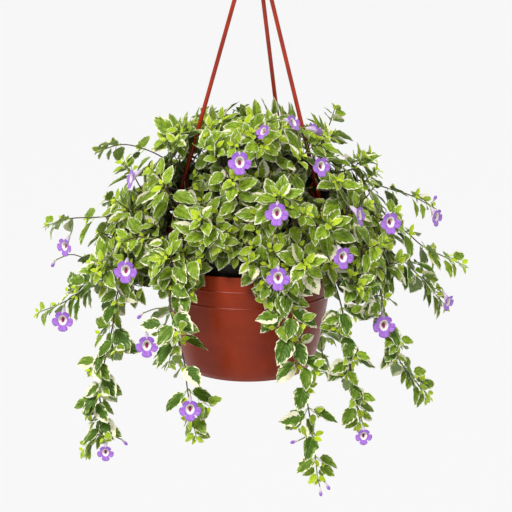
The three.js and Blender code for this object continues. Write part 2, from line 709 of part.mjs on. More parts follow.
function shootPath(from, tangent, tip, normal) {
  const reach = from.distanceTo(tip);
  const bow = from.clone().addScaledVector(tangent, reach * SHOOT_BOW.start);
  const lead = tip.clone().addScaledVector(normal, -reach * SHOOT_BOW.end);
  const middle = bow.lerp(lead, 0.5);
  const approach = tip.clone().addScaledVector(normal, -TIP_STEP * SHOOT_APPROACH.far);
  const nearTip = tip.clone().addScaledVector(normal, -TIP_STEP * SHOOT_APPROACH.near);
  const rest = [approach, nearTip, tip];
  return reach > SHOOT_REACH.direct ? [from, middle, ...rest] : [from, ...rest];
}

function bestShoot(tip, normal) {
  const choices = [];
  for (const stem of stems) {
    for (let k = 2; k < stem.path.length - 1; k += 1) {
      const from = stem.path[k];
      const span = tip.clone().sub(from);
      const reach = span.length();
      const along = tangentAt(stem.path, k);
      if (reach < SHOOT_REACH.least || reach > SHOOT_REACH.most) continue;
      const turn = span.dot(along) / reach;
      if (turn < SHOOT_TURN.least) continue;
      const cost = reach - SHOOT_TURN.worth * turn;
      choices.push({ stem, path: shootPath(from, along, tip, normal), cost });
    }
  }
  choices.sort((a, b) => a.cost - b.cost);
  return choices.slice(0, SHOOT_TRIES).find(({ stem, path }) => shootIsClear(path.slice(1), stem.index));
}

for (let k = 0; k < ROSETTES; k += 1) {
  const draw = seeded(ROSETTE_SEED + k);
  const height = 1 - (k + 0.5) / (ROSETTES * ROSETTE_FALL);
  const angle = k * GOLDEN_TURN + (draw() - 0.5) * ROSETTE_STRAY.turn;
  const rise = Math.asin(Math.max(ROSETTE_LOWEST, height)) + (draw() - 0.5) * ROSETTE_STRAY.rise;
  const tip = domePoint(angle, rise, ROSETTE_LEVEL.least + ROSETTE_LEVEL.range * draw());
  const normal = domeNormal(tip).addScaledVector(UP, ROSETTE_LIFT).normalize();
  const front = Math.abs(Math.atan2(tip.x, -tip.y)) < BARE_FRONT.half;
  if (front && rise < BARE_FRONT.rise) continue;
  const taken = stems.some((stem) => stem.path.at(-1).distanceTo(tip) < TIP_FROM_STEM
    || stem.shoots.some((shoot) => shoot.at(-1).distanceTo(tip) < TIP_FROM_SHOOT));
  if (taken) continue;
  const shoot = bestShoot(tip, normal);
  if (!shoot) continue;
  shoot.stem.shoots.push(shoot.path);
  remember(shoot.path, shoot.stem.index, 'stem');
}

// Flower stalks and bud stalks: from the nearest joint of a stem to the heel of the calyx
function nearestJoint(goal, facing, smallest) {
  const joints = [];
  for (const stem of stems) {
    for (const path of [stem.path.slice(2), ...stem.shoots.map((shoot) => shoot.slice(1))]) {
      path.forEach((from) => {
        const span = goal.clone().sub(from);
        const reach = span.length();
        if (reach < smallest || reach > STALK_MOST) return;
        joints.push({ stem, from, cost: reach - STALK_TURN_WORTH * (span.dot(facing) / reach) });
      });
    }
  }
  return joints.sort((a, b) => a.cost - b.cost);
}

function stalkTo(goal, facing, smallest) {
  return nearestJoint(goal, facing, smallest).slice(0, STALK_TRIES).map(({ stem, from }) => {
    const lead = goal.clone().addScaledVector(facing, -STALK_BOW.lead * from.distanceTo(goal));
    return { stem, path: [from, from.clone().lerp(lead, STALK_BOW.share), goal] };
  }).find(({ stem, path }) => stalkIsClear(path, stem.index));
}

for (const bloom of blooms) {
  const goal = bloom.heel.clone().addScaledVector(bloom.along, -CALYX_LENGTH - GAP);
  const stalk = stalkTo(goal, bloom.along, BLOOM_STALK);
  if (!stalk) throw new Error(`no stalk for ${bloom.name}`);
  const heelEnd = bloom.heel.clone().addScaledVector(bloom.along, -GAP);
  stalk.stem.stalks.push([...stalk.path, heelEnd]);
  remember(stalk.path, stalk.stem.index, 'stem');
  remember([bloom.heel, bloom.centre], -1, 'stem');
}

for (const [place, pointing] of BUDS) {
  const facing = v3(...pointing).normalize();
  const centre = v3(...place);
  const stalk = stalkTo(centre.clone().addScaledVector(facing, -BUD_LENGTH * BUD_SEAT), facing, BUD_STALK);
  if (!stalk) continue;
  stalk.stem.buds.push({ path: stalk.path, centre, facing });
  remember(stalk.path, stalk.stem.index, 'stem');
}

// Plant, part two: leaves in opposite pairs, turned a quarter from pair to pair
// A point of a leaf's middle surface: share of the length, and share of it to one side
function leafPoint(leaf, along, across, lift = 0) {
  const rise = (LEAF_FOLD * Math.abs(across) - LEAF_CURL * along * along) * leaf.size + lift;
  return leaf.root.clone()
    .addScaledVector(leaf.facing, along * leaf.size)
    .addScaledVector(leaf.side, across * leaf.size)
    .addScaledVector(leaf.normal, rise);
}

function poseLeaf(root, axis, spin, lean, size, draw) {
  const light = lightAt(root);
  let across = axis.clone().cross(light);
  const sun = across.length();
  if (sun < LIGHT.least) across = axis.clone().cross(v3(...LIGHT.spare));
  across.normalize();
  const over = across.clone().cross(axis).normalize();
  const tight = THREE.MathUtils.clamp((sun - PAIR_SQUEEZE.from) / PAIR_SQUEEZE.over, 0, 1);
  const turn = rad(spin.base * (PAIR_TURN - PAIR_SQUEEZE.by * tight) + spin.extra);
  const out = across.clone().multiplyScalar(Math.cos(turn)).addScaledVector(over, Math.sin(turn));
  out.multiplyScalar(spin.way);
  const facing = out.multiplyScalar(Math.cos(lean)).addScaledVector(axis, Math.sin(lean));
  facing.z -= LEAF_DROOP.least + LEAF_DROOP.perSize * size;
  facing.normalize();
  const swept = THREE.MathUtils.clamp(facing.dot(axis), -STEEPEST, STEEPEST);
  facing.addScaledVector(axis, -facing.dot(axis)).normalize();
  facing.multiplyScalar(Math.sqrt(1 - swept * swept)).addScaledVector(axis, swept);
  const normal = light.addScaledVector(facing, -light.dot(facing)).normalize();
  const side = normal.clone().cross(facing);
  const roll = (draw - 0.5) * LEAF_ROLL;
  const rolled = normal.clone().multiplyScalar(Math.cos(roll)).addScaledVector(side, Math.sin(roll));
  return { root, facing, size, normal: rolled, side: rolled.clone().cross(facing) };
}

const leafLimits = (other, owner) => {
  if (other.kind === 'stem') return other.owner === owner ? 0 : STEM_CLEAR;
  return other.owner === owner ? OWN_CLEAR : LEAF_CLEAR;
};
const rootLimits = (other, owner) => (other.owner === owner ? 0 : leafLimits(other, owner));

function leafIsClear(leaf, owner) {
  return LEAF_PROBES.every(([along, across]) => {
    const point = leafPoint(leaf, along, across);
    const limits = along < 0.5 ? rootLimits : leafLimits;
    return clearOfHardware(point, LEAF_AIR) && clearOfBlooms(point, BLOOM_AIR.leaf)
      && crowd.clear(point, owner, limits);
  });
}

function settleLeaf(root, axis, base, way, lean, size, owner, draw) {
  for (const shrink of SIZE_TRIES) {
    for (const tilt of LEAN_TRIES) {
      for (const extra of SPIN_TRIES) {
        const leaf = poseLeaf(root, axis, { base, extra, way }, lean + tilt, size * shrink, draw);
        if (leafIsClear(leaf, owner)) {
          LEAF_PROBES.forEach(([along, across]) => crowd.add(leafPoint(leaf, along, across), owner, 'leaf'));
          return leaf;
        }
      }
    }
  }
  return null;
}

// Leaf pairs from the tip inwards, each a size larger until full grown
function leavesOn(path, owner, seed) {
  const draw = seeded(seed);
  const leaves = [];
  let fromTip = 0;
  const last = path.length - 1;
  for (let k = last - 1; k > 0; k -= 1) {
    fromTip += path[k].distanceTo(path[k + 1]);
    if (domeLevel(path[k]) < DEEPEST_LEAF && path[k].z > DOME.base - 10) break;
    const grade = Math.min(Math.max(last - k, fromTip / LEAF_GRADE), LEAF_SIZES.length - 1);
    const low = Math.floor(grade);
    const high = Math.min(low + 1, LEAF_SIZES.length - 1);
    const grown = LEAF_SIZES[low] + (LEAF_SIZES[high] - LEAF_SIZES[low]) * (grade - low);
    const base = (last - k) % 2 === 0 ? 1 : -1;
    for (const way of [1, -1]) {
      const size = grown * (LEAF_SPREAD.least + LEAF_SPREAD.range * draw());
      const lean = LEAF_LEAN.least + LEAF_LEAN.range * draw();
      const roll = draw();
      if (size < SMALLEST_LEAF) continue;
      const leaf = settleLeaf(path[k], tangentAt(path, k), base, way, lean, size, owner, roll);
      if (leaf) leaves.push({ ...leaf, joint: k });
    }
  }
  return leaves;
}

for (const stem of stems) {
  const leaves = leavesOn(stem.path, stem.index, STEM_SEED + stem.index);
  stem.twigs = [{ path: stem.path, radius: STEM_RADIUS, leaves }];
}
for (const stem of stems) {
  stem.shoots.forEach((path, k) => {
    const leaves = leavesOn(path, stem.index, SHOOT_SEED + SEED_STEP * stem.index + k);
    stem.twigs.push({ path, radius: SHOOT_RADIUS, leaves });
  });
}

// Plant, part three: solids
// Rings of STEM_SIDES corners along a twig, turned so that the faces of each joint look along its leaves
function ringsOf(path, radius, leaves) {
  const frames = new NodePath(path).computeFrenetFrames(path.length - 1);
  const rings = [];
  let spin = 0;
  let previous = path[0];
  path.forEach((point, k) => {
    const bare = k > 0 && k < path.length - 1 && !leaves.some((leaf) => leaf.joint === k);
    if (bare && offLine(point, previous, path[k + 1]) < STRAIGHT) return;
    previous = point;
    const [normal, binormal] = [frames.normals[k], frames.binormals[k]];
    const here = leaves.filter((leaf) => leaf.joint === k);
    const angles = here.map(({ facing }) => Math.atan2(facing.dot(binormal), facing.dot(normal)));
    if (angles.length === 1) spin = nearestTurn(angles[0] - THIRD / 2, spin);
    if (angles.length === 2) {
      const gap = Math.atan2(Math.sin(angles[1] - angles[0]), Math.cos(angles[1] - angles[0]));
      spin = nearestTurn(angles[0] + gap / 2, spin);
    }
    const ringAt = (shift) => RING.map((corner) => point.clone()
      .addScaledVector(frames.tangents[k], shift)
      .addScaledVector(normal, radius * Math.cos(spin + corner * THIRD))
      .addScaledVector(binormal, radius * Math.sin(spin + corner * THIRD)));
    if (here.length === 0) rings.push({ corners: ringAt(0), leaves: [] });
    else rings.push({ corners: ringAt(-COLLAR), leaves: here }, { corners: ringAt(COLLAR), leaves: [] });
  });
  return rings;
}

function offLine(point, from, to) {
  return new THREE.Line3(from, to).closestPointToPoint(point, true, v3(0, 0, 0)).distanceTo(point);
}

// The turn nearest to the last one that gives the same triangle, kept from twisting the skin shut
function nearestTurn(angle, last) {
  const turn = angle + Math.round((last - angle) / THIRD) * THIRD;
  return THREE.MathUtils.clamp(turn, last - MOST_TWIST, last + MOST_TWIST);
}

function centreOf(quad) {
  return quad.reduce((sum, point) => sum.addScaledVector(point, 1 / quad.length), v3(0, 0, 0));
}

// A quad of a joint's face in the order that fits the foot of the leaf: right under, right over,
// left over, left under
function footOf(quad, leaf) {
  const centre = centreOf(quad);
  const wanted = [[1, -1], [1, 1], [-1, 1], [-1, -1]].map(([across, up]) => leaf.side.clone()
    .multiplyScalar(across).addScaledVector(leaf.normal, up));
  const reach = (corner) => quad[corner % 4].clone().sub(centre);
  const fit = (turn) => wanted.reduce((sum, way, k) => sum + way.dot(reach(k + turn)), 0);
  const turn = [0, 1, 2, 3].reduce((a, b) => (fit(a) > fit(b) ? a : b));
  return wanted.map((_, k) => quad[(k + turn) % 4]);
}

// Faces of one toothed blade that grows out of its foot; both of its sides are split alike
function bladeFaces(leaf, foot) {
  const edge = leaf.size < SMALL_LEAF ? SMALL_LEAF_EDGE : LEAF_EDGE;
  const left = edge.map(([along, across]) => [along, -across]);
  const outline = [[1, 0], ...[...edge].reverse(), ...left];
  const right = edge.length;
  const over = outline.map(([along, across]) => leafPoint(leaf, along, across, BLADE / 2));
  const under = outline.map(([along, across]) => leafPoint(leaf, along, across, -BLADE / 2));
  over.splice(right + 1, 0, foot[1], foot[2]);
  under.splice(right + 1, 0, foot[0], foot[3]);
  const faces = [];
  for (let k = 1; k < over.length - 1; k += 1) {
    faces.push([over[0], over[k], over[k + 1]], [under[0], under[k + 1], under[k]]);
  }
  for (let k = 0; k < over.length; k += 1) {
    const next = (k + 1) % over.length;
    if (k === right + 1) continue;
    faces.push([under[k], under[next], over[next]], [under[k], over[next], over[k]]);
  }
  return faces;
}

// True where the line between two points passes through the inside of a face
function pierces(from, to, [a, b, c]) {
  const plane = new THREE.Plane().setFromCoplanarPoints(a, b, c);
  const start = plane.distanceToPoint(from);
  const end = plane.distanceToPoint(to);
  if (start * end > -1e-9) return false;
  const crossing = from.clone().lerp(to, start / (start - end));
  const share = THREE.Triangle.getBarycoord(crossing, a, b, c, v3(0, 0, 0));
  return share !== null && Math.min(share.x, share.y, share.z) > 1e-4;
}

function facesCross(faces, others) {
  return faces.some((face) => others.some((other) => face.some(
    (corner, k) => pierces(corner, face[(k + 1) % 3], other),
  )));
}

function solidOfFaces(faces) {
  const geometry = new THREE.BufferGeometry();
  const places = faces.flatMap((face) => face.flatMap((point) => point.toArray()));
  geometry.setAttribute('position', new THREE.Float32BufferAttribute(places, 3));
  return solidOf(geometry);
}

// A twig and its leaves as one skin: each leaf takes the place of one face of its joint
function twigSolid({ path, radius, leaves }, keeps = () => true) {
  const rings = ringsOf(path, radius, leaves);
  const faces = [];
  const coreFaces = [];
  const blades = [];
  for (let k = 0; k < rings.length - 1; k += 1) {
    const [low, high] = [rings[k].corners, rings[k + 1].corners];
    const sides = RING.map((corner) => {
      const next = (corner + 1) % STEM_SIDES;
      return [low[corner], low[next], high[next], high[corner]];
    });
    const free = new Set(RING);
    for (const leaf of rings[k].leaves) {
      const middle = path[leaf.joint];
      const look = (side) => centreOf(sides[side]).sub(middle).normalize().dot(leaf.facing);
      const side = [...free].reduce((a, b) => (look(a) > look(b) ? a : b));
      const foot = footOf(sides[side], leaf);
      const blade = bladeFaces(leaf, foot);
      const sole = [[foot[0], foot[3], foot[2]], [foot[0], foot[2], foot[1]]];
      blades.push({ leaf, faces: blade, solid: solidOfFaces([...blade, ...sole]), core: coreFaces });
      free.delete(side);
      faces.push(...(keeps(leaf) ? blade : [[foot[0], foot[1], foot[2]], [foot[0], foot[2], foot[3]]]));
    }
    sides.forEach(([a, b, c, d], side) => {
      coreFaces.push([a, b, c], [a, c, d]);
      if (free.has(side)) faces.push([a, b, c], [a, c, d]);
    });
  }
  const [first, end] = [rings[0].corners, rings.at(-1).corners];
  faces.push([first[0], first[2], first[1]], [end[0], end[1], end[2]]);
  return { solid: solidOfFaces(faces), blades };
}

// One corolla: five rounded lobes, the lowest the largest, a hollow throat and a narrow rising tube
function bloomSolid({ centre, facing, side, over, along, scale }) {
  const ringPoint = (radius, degrees, depth, upward, way) => centre.clone()
    .addScaledVector(side, radius * scale * Math.cos(rad(degrees)))
    .addScaledVector(upward, radius * scale * Math.sin(rad(degrees)))
    .addScaledVector(way, depth * scale);
  const acrossTube = along.clone().cross(side);
  const place = (radius, degrees, depth) => ringPoint(radius, degrees, depth, over, facing);
  const inTube = (radius, degrees, depth) => ringPoint(radius, degrees, depth, acrossTube, along);
  const rings = { front: [], back: [], throat: [], collar: [], heel: [] };
  for (let lobe = 0; lobe < 5; lobe += 1) {
    const middle = -90 + 72 * lobe;
    const reach = BLOOM_RADIUS * (lobe === 0 ? LOW_LOBE_REACH : LOBE_REACH);
    for (const [swing, share, depth] of LOBE_EDGE) {
      rings.front.push(place(reach * share, middle + swing, depth));
      rings.back.push(place(reach * share, middle + swing, depth - LOBE_THICK));
    }
    rings.throat.push(place(THROAT.radius, middle, -THROAT.depth));
    rings.collar.push(place(TUBE_MOUTH.radius, middle, -TUBE_MOUTH.depth)
      .addScaledVector(over, TUBE_MOUTH.lift * scale));
    rings.heel.push(inTube(TUBE_HEEL, middle, -BLOOM_TUBE));
  }
  const points = [...Object.values(rings).flat(), inTube(0, 0, -THROAT.end)];
  const edges = rings.front.length;
  const front = 0;
  const back = edges;
  const throat = 2 * edges;
  const collar = throat + 5;
  const heel = collar + 5;
  const deep = heel + 5;
  const faces = [];
  for (let lobe = 0; lobe < 5; lobe += 1) {
    const next = (lobe + 1) % 5;
    for (let k = 0; k < 4; k += 1) {
      const a = lobe * 4 + k;
      const b = (a + 1) % edges;
      faces.push(front + a, front + b, throat + lobe);
      faces.push(back + b, back + a, collar + lobe);
      faces.push(front + b, front + a, back + a, front + b, back + a, back + b);
    }
    const notch = (lobe * 4 + 4) % edges;
    faces.push(front + notch, throat + next, throat + lobe);
    faces.push(back + notch, collar + lobe, collar + next);
    faces.push(throat + lobe, throat + next, deep);
    faces.push(collar + lobe, heel + lobe, heel + next, collar + lobe, heel + next, collar + next);
  }
  faces.push(heel, heel + 2, heel + 1, heel, heel + 3, heel + 2, heel, heel + 4, heel + 3);
  const geometry = new THREE.BufferGeometry();
  geometry.setAttribute('position', new THREE.Float32BufferAttribute(points.flatMap((p) => p.toArray()), 3));
  geometry.setIndex(faces);
  return solidOf(geometry);
}

function budSolid({ centre, facing }) {
  const geometry = new THREE.OctahedronGeometry(1);
  geometry.scale(BUD_RADIUS, BUD_LENGTH / 2, BUD_RADIUS);
  geometry.applyQuaternion(new THREE.Quaternion().setFromUnitVectors(v3(0, 1, 0), facing));
  geometry.translate(...centre.toArray());
  return solidOf(geometry);
}

// Every stem's node: its twigs with their leaves, and its flower stalks and buds
const nodeSolids = stems.map((stem) => {
  const stalks = stem.stalks.map((path) => tube(path, PEDICEL_RADIUS, STEM_SIDES, CALYX_SWELL));
  stem.buds.forEach((bud) => stalks.push(tube(bud.path, PEDICEL_RADIUS, STEM_SIDES), budSolid(bud)));
  const bare = stem.twigs.map(({ path, radius }) => twigSolid({ path, radius, leaves: [] }).solid);
  const blades = stem.twigs.flatMap((twig) => twigSolid(twig).blades.map((blade) => ({ ...blade, twig })));
  return { name: `stem_${stem.name}`, stem, stalks, bare, blades };
});
const bloomSolids = blooms.map((bloom) => ({ name: `bloom_${bloom.name}`, solid: bloomSolid(bloom) }));
const hardware = [
  ['pot', makePot(), 'pot'],
  ['liner', makeLiner(), 'liner'],
  ['soil', makeSoil(stems.map(({ root }) => root)), 'soil'],
  ['hanger_hook', makeHook(), 'hanger'],
  ...Object.entries(ARM_BEARINGS)
    .map(([name, bearing]) => [`hanger_arm_${name}`, makeArm(bearing), 'hanger']),
];

// A leaf that would still touch another node is left off
function apart(a, b, gap) {
  const boxA = a.boundingBox();
  const boxB = b.boundingBox();
  for (let axis = 0; axis < 3; axis += 1) {
    if (boxA.min[axis] > boxB.max[axis] + gap || boxB.min[axis] > boxA.max[axis] + gap) return true;
  }
  return a.minGap(b, 2 * gap) > gap;
}

const keptLeaves = [];
const fixed = [
  ...hardware.map(([name, solid]) => ({ owner: name, solid })),
  ...bloomSolids.map(({ name, solid }) => ({ owner: name, solid })),
  ...nodeSolids.flatMap(({ name, stalks, bare }) => [...stalks, ...bare]
    .map((solid) => ({ owner: name, solid }))),
];

function standsFree(blade, name) {
  const others = fixed.every((other) => other.owner === name || apart(blade.solid, other.solid, LEAF_GAP));
  if (!others || facesCross(blade.faces, [...blade.faces, ...blade.core])) return false;
  if (facesCross(blade.core, blade.faces)) return false;
  return keptLeaves.every((other) => {
    if (other.owner !== name) return apart(blade.solid, other.solid, LEAF_GAP);
    if (other.twig !== blade.twig) return true;
    if (other.leaf.joint !== blade.leaf.joint) return apart(blade.solid, other.solid, OWN_LEAF_GAP);
    return !facesCross(blade.faces, other.faces) && !facesCross(other.faces, blade.faces);
  });
}

for (const { name, blades } of nodeSolids) {
  for (const blade of blades) {
    if (standsFree(blade, name)) keptLeaves.push({ ...blade, owner: name });
  }
}
const kept = new Set(keptLeaves.map(({ leaf }) => leaf));

const group = new THREE.Group();
group.name = 'potted_chinese_violet';
group.position.set(-HOOK_X, 0, -HOOK_BEARING);
hardware.forEach(([name, solid, colour]) => group.add(meshOf(name, solid, colour)));
for (const { name, stem, stalks } of nodeSolids) {
  const twigs = stem.twigs.map((twig) => twigSolid(twig, (leaf) => kept.has(leaf)).solid);
  group.add(meshOf(name, joined([...twigs, ...stalks]), 'foliage'));
}
bloomSolids.forEach(({ name, solid }) => group.add(meshOf(name, solid, 'bloom')));

export default group;
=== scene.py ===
"""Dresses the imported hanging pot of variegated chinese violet.

The plan of the plant, where stems run and leaves sit, follows the same rules and seeds as the
solids, so each finer piece keeps the form of the node that it replaces. Plan sizes are in
millimetres in the pot's own frame: z = 0 under the pot, +X right, +Y away from the front.
"""
import json
import logging
import math
from dataclasses import dataclass, field
from enum import Enum
from typing import Callable, Iterable, Sequence

import bpy
import numpy as np
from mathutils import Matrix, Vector

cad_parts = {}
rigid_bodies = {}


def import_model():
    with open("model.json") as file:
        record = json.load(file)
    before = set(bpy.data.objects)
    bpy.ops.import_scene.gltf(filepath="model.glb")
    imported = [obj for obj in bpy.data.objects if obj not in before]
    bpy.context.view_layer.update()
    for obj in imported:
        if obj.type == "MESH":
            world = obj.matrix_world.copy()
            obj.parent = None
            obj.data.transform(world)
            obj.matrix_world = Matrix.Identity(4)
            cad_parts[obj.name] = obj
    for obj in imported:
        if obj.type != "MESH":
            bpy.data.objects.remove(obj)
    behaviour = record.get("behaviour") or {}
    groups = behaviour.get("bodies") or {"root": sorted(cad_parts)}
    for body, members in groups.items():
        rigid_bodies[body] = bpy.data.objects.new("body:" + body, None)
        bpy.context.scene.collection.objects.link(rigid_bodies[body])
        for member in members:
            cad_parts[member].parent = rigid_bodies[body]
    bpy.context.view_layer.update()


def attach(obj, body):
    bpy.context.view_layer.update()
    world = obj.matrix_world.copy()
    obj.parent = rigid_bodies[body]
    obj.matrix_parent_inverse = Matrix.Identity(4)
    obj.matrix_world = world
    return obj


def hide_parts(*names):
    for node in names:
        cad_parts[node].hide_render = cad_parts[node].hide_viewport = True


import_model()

log = logging.getLogger("hanging_pot")

MM = 0.001
ORIGIN = (9.8, 0.0, 700.0)
BODY = "root"
GOLDEN = math.pi * (3 - math.sqrt(5))
Vec = np.ndarray
Limits = Callable[[int, str, int], float]


def vec(*values: float) -> Vec:
    """A point or direction as an array of floats."""
    return np.array(values, dtype=float)


def length_of(way: Vec) -> float:
    """How long a way is."""
    return math.sqrt(float(way @ way))


def unit(way: Vec) -> Vec:
    """The direction at length one."""
    return way / length_of(way)


def span(a: Vec, b: Vec) -> float:
    """The distance between two points."""
    return length_of(b - a)


def rad(degrees: float) -> float:
    """Degrees as radians."""
    return math.radians(degrees)


def clamp(value: float, low: float, high: float) -> float:
    """The value, kept between two limits."""
    return max(low, min(high, value))


def blend(a: float, b: float, share: float) -> float:
    """A value part of the way from a to b."""
    return a + (b - a) * share


def placed(points: np.ndarray) -> np.ndarray:
    """Plan points in millimetres as frame points in metres."""
    return (np.asarray(points, dtype=float).reshape(-1, 3) - vec(*ORIGIN)) * MM


class Draws:
    """Random draws that are the same every time for one seed."""

    def __init__(self, seed: int) -> None:
        """Starts the row of draws at the seed."""
        self.state = seed & 0xFFFFFFFF

    def __call__(self) -> float:
        """The next draw, from 0 up to 1."""
        self.state = (self.state * 1664525 + 1013904223) & 0xFFFFFFFF
        return self.state / 4294967296


# Routes of the leafy stems: name, and the points that each passes on its way from the soil
STEMS = [
    ("trail_far_left", [(-120, -22, 212), (-190, -30, 170), (-261, -12, 110), (-318, 0, 82)]),
    ("trail_left", [(-125, -45, 215), (-185, -58, 150), (-202, -60, 70), (-222, -50, -18),
                    (-224, -42, -88), (-252, -32, -128)]),
    ("trail_inner_left", [(-96, -92, 205), (-112, -138, 150), (-104, -150, 100), (-92, -150, 55),
                          (-86, -150, 0), (-74, -150, -70)]),
    ("trail_front", [(40, -95, 210), (52, -145, 158), (60, -156, 95), (78, -157, 32),
                     (95, -154, -68), (102, -152, -131)]),
    ("trail_inner_right", [(90, -76, 212), (128, -112, 148), (144, -110, 70), (152, -104, 13),
                           (168, -96, -70)]),
    ("trail_right", [(120, -50, 218), (182, -72, 168), (207, -66, 80), (228, -60, 20),
                     (274, -44, -38)]),
    ("arch_right_low", [(128, 14, 208), (221, 0, 172), (280, 16, 112), (304, 26, 84)]),
    ("arch_right", [(130, 25, 240), (228, 12, 210), (267, 14, 180), (330, 20, 150)]),
    ("arch_right_high", [(125, 48, 275), (230, 56, 258), (284, 62, 232)]),
    ("arch_left", [(-118, 14, 240), (-207, 12, 228), (-270, 25, 222), (-306, 30, 210)]),
    ("crown_left_high", [(-105, 50, 290), (-180, 78, 326), (-232, 84, 314)]),
    ("crown_left", [(-75, 62, 285), (-128, 90, 346)]),
    ("crown_mid_left", [(-42, 62, 290), (-66, 92, 378)]),
    ("crown_mid", [(-4, 38, 290), (-5, 58, 388)]),
    ("crown_right", [(58, 28, 275), (105, 48, 320), (132, 58, 388)]),
    ("crown_right_outer", [(108, 66, 270), (190, 78, 312)]),
    ("dome_front_high", [(-22, -38, 250), (-46, -84, 352)]),
    ("dome_right_high", [(34, -42, 250), (78, -92, 340)]),
    ("dome_left_high", [(-78, -34, 240), (-142, -66, 316)]),
    ("dome_front", [(-34, -92, 222), (-70, -148, 262)]),
    ("dome_front_right", [(52, -98, 226), (84, -148, 268)]),
    ("dome_right", [(104, -66, 226), (176, -92, 268)]),
    ("dome_left", [(-112, -72, 220), (-184, -98, 214)]),
    ("back_trail_left", [(-72, 104, 214), (-108, 160, 150), (-116, 176, 70), (-122, 180, -2),
                         (-132, 186, -60)]),
    ("back_trail_right", [(76, 108, 214), (104, 166, 152), (110, 182, 66), (118, 188, -10),
                          (124, 196, -74)]),
    ("back_dome_left", [(-66, 86, 240), (-112, 158, 286)]),
    ("back_dome_right", [(52, 96, 240), (82, 168, 282)]),
]

# Blooms: name, centre of the face, direction that it faces, size against a full bloom
BLOOMS = [
    ("crown_front", (-11, -131, 336), (0.05, -0.95, 0.2), 1),
    ("upper_front", (41, -172, 271), (-0.08, -0.97, 0.12), 1),
    ("rim_front", (43, -192, 183), (0.02, -0.98, 0.1), 1),
    ("front_right", (135, -163, 206), (0.42, -0.88, 0.06), 0.95),
    ("right_upper", (206, -100, 243), (0.3, -0.9, 0.1), 0.95),
    ("right_turned", (160, -132, 260), (0.85, -0.45, 0.1), 0.85),
    ("arch_right_top", (283, -4, 231), (0.72, -0.6, -0.1), 0.8),
    ("arch_right_tip", (304, 0, 98), (0.7, -0.62, -0.25), 0.78),
    ("trail_right_upper", (199, -100, 89), (0.1, -0.98, 0), 1),
    ("inner_right_tip", (170, -126, -72), (0.1, -0.95, -0.1), 0.75),
    ("crown_right", (105, -118, 328), (0.45, -0.85, 0.15), 0.85),
    ("crown_turned", (66, -70, 384), (0.62, -0.45, 0.5), 0.8),
    ("crown_hidden", (22, -92, 374), (-0.5, -0.6, 0.45), 0.7),
    ("crown_behind", (98, -58, 372), (0.55, 0.4, 0.45), 0.8),
    ("left_turned", (-168, -92, 306), (-0.85, -0.35, 0.15), 0.85),
    ("arch_left_tip", (-274, -22, 190), (-0.55, -0.78, -0.12), 0.85),
    ("left_front", (-175, -128, 178), (-0.1, -0.97, 0.05), 1),
    ("far_left", (-276, -52, 84), (-0.08, -0.97, -0.05), 0.95),
    ("inner_left_upper", (-144, -158, 75), (0.05, -0.98, 0), 0.95),
    ("inner_left_tip", (-82, -184, -12), (0.02, -0.98, -0.05), 0.95),
    ("trail_left_tip", (-214, -74, -116), (0, -0.96, -0.15), 0.75),
    ("back_upper", (20, 186, 300), (0.05, 0.93, 0.3), 1),
    ("back_left", (-150, 176, 236), (-0.45, 0.86, 0.15), 0.95),
    ("back_right", (176, 160, 226), (0.5, 0.82, 0.1), 0.95),
    ("back_low", (96, 214, 84), (-0.1, 0.97, -0.05), 0.9),
]

# Closed buds: centre and the direction that each points
BUDS = [
    ((-292, -4, 160), (-0.5, -0.2, -0.85)),
    ((-188, -48, -108), (0.7, -0.3, -0.6)),
    ((68, -166, -67), (-0.85, -0.4, -0.1)),
    ((106, -158, -146), (0.1, -0.2, -0.95)),
    ((116, -150, -140), (0.5, -0.2, -0.85)),
    ((284, 52, 246), (0.4, -0.2, 0.9)),
    ((-155, -116, 108), (-0.6, -0.5, -0.5)),
]


@dataclass(frozen=True)
class PotPlan:
    """Sizes of the pot, its liner and its soil, in millimetres."""

    height: float = 166.0
    outline: tuple = ((92, 0), (98, 8), (104, 25), (115, 70), (124, 124), (126, 137), (126, 166))
    inside: tuple = ((92, 7), (112, 70), (123.4, 137), (123.4, 166))
    foot_height: float = 4.0
    foot_width: float = 9.0
    first_notch: float = -68.0
    notch_width: float = 18.0
    drain_radius: float = 5.0
    drain_circle: float = 52.0
    first_drain: float = 45.0
    liner_bottom: float = 7.3
    liner_top: float = 187.0
    liner_radius: float = 117.5
    liner_base: float = 84.0
    liner_wall: float = 1.6
    lip: float = 1.8
    soil_edge: float = 168.0
    soil_top: float = 172.0

    def radius_at(self, z: float) -> float:
        """The pot's outer radius at a height.

        Args:
            z: the height.

        Returns:
            The radius.
        """
        for (r0, z0), (r1, z1) in zip(self.outline, self.outline[1:]):
            if z < z1:
                return r0 + ((r1 - r0) * (z - z0)) / (z1 - z0) if z >= z0 else r0
        return self.outline[-1][0]

    def liner_at(self, z: float) -> float:
        """The liner's outer radius at a height."""
        share = (z - self.liner_bottom) / (self.liner_top - self.liner_bottom)
        return blend(self.liner_base, self.liner_radius, share)


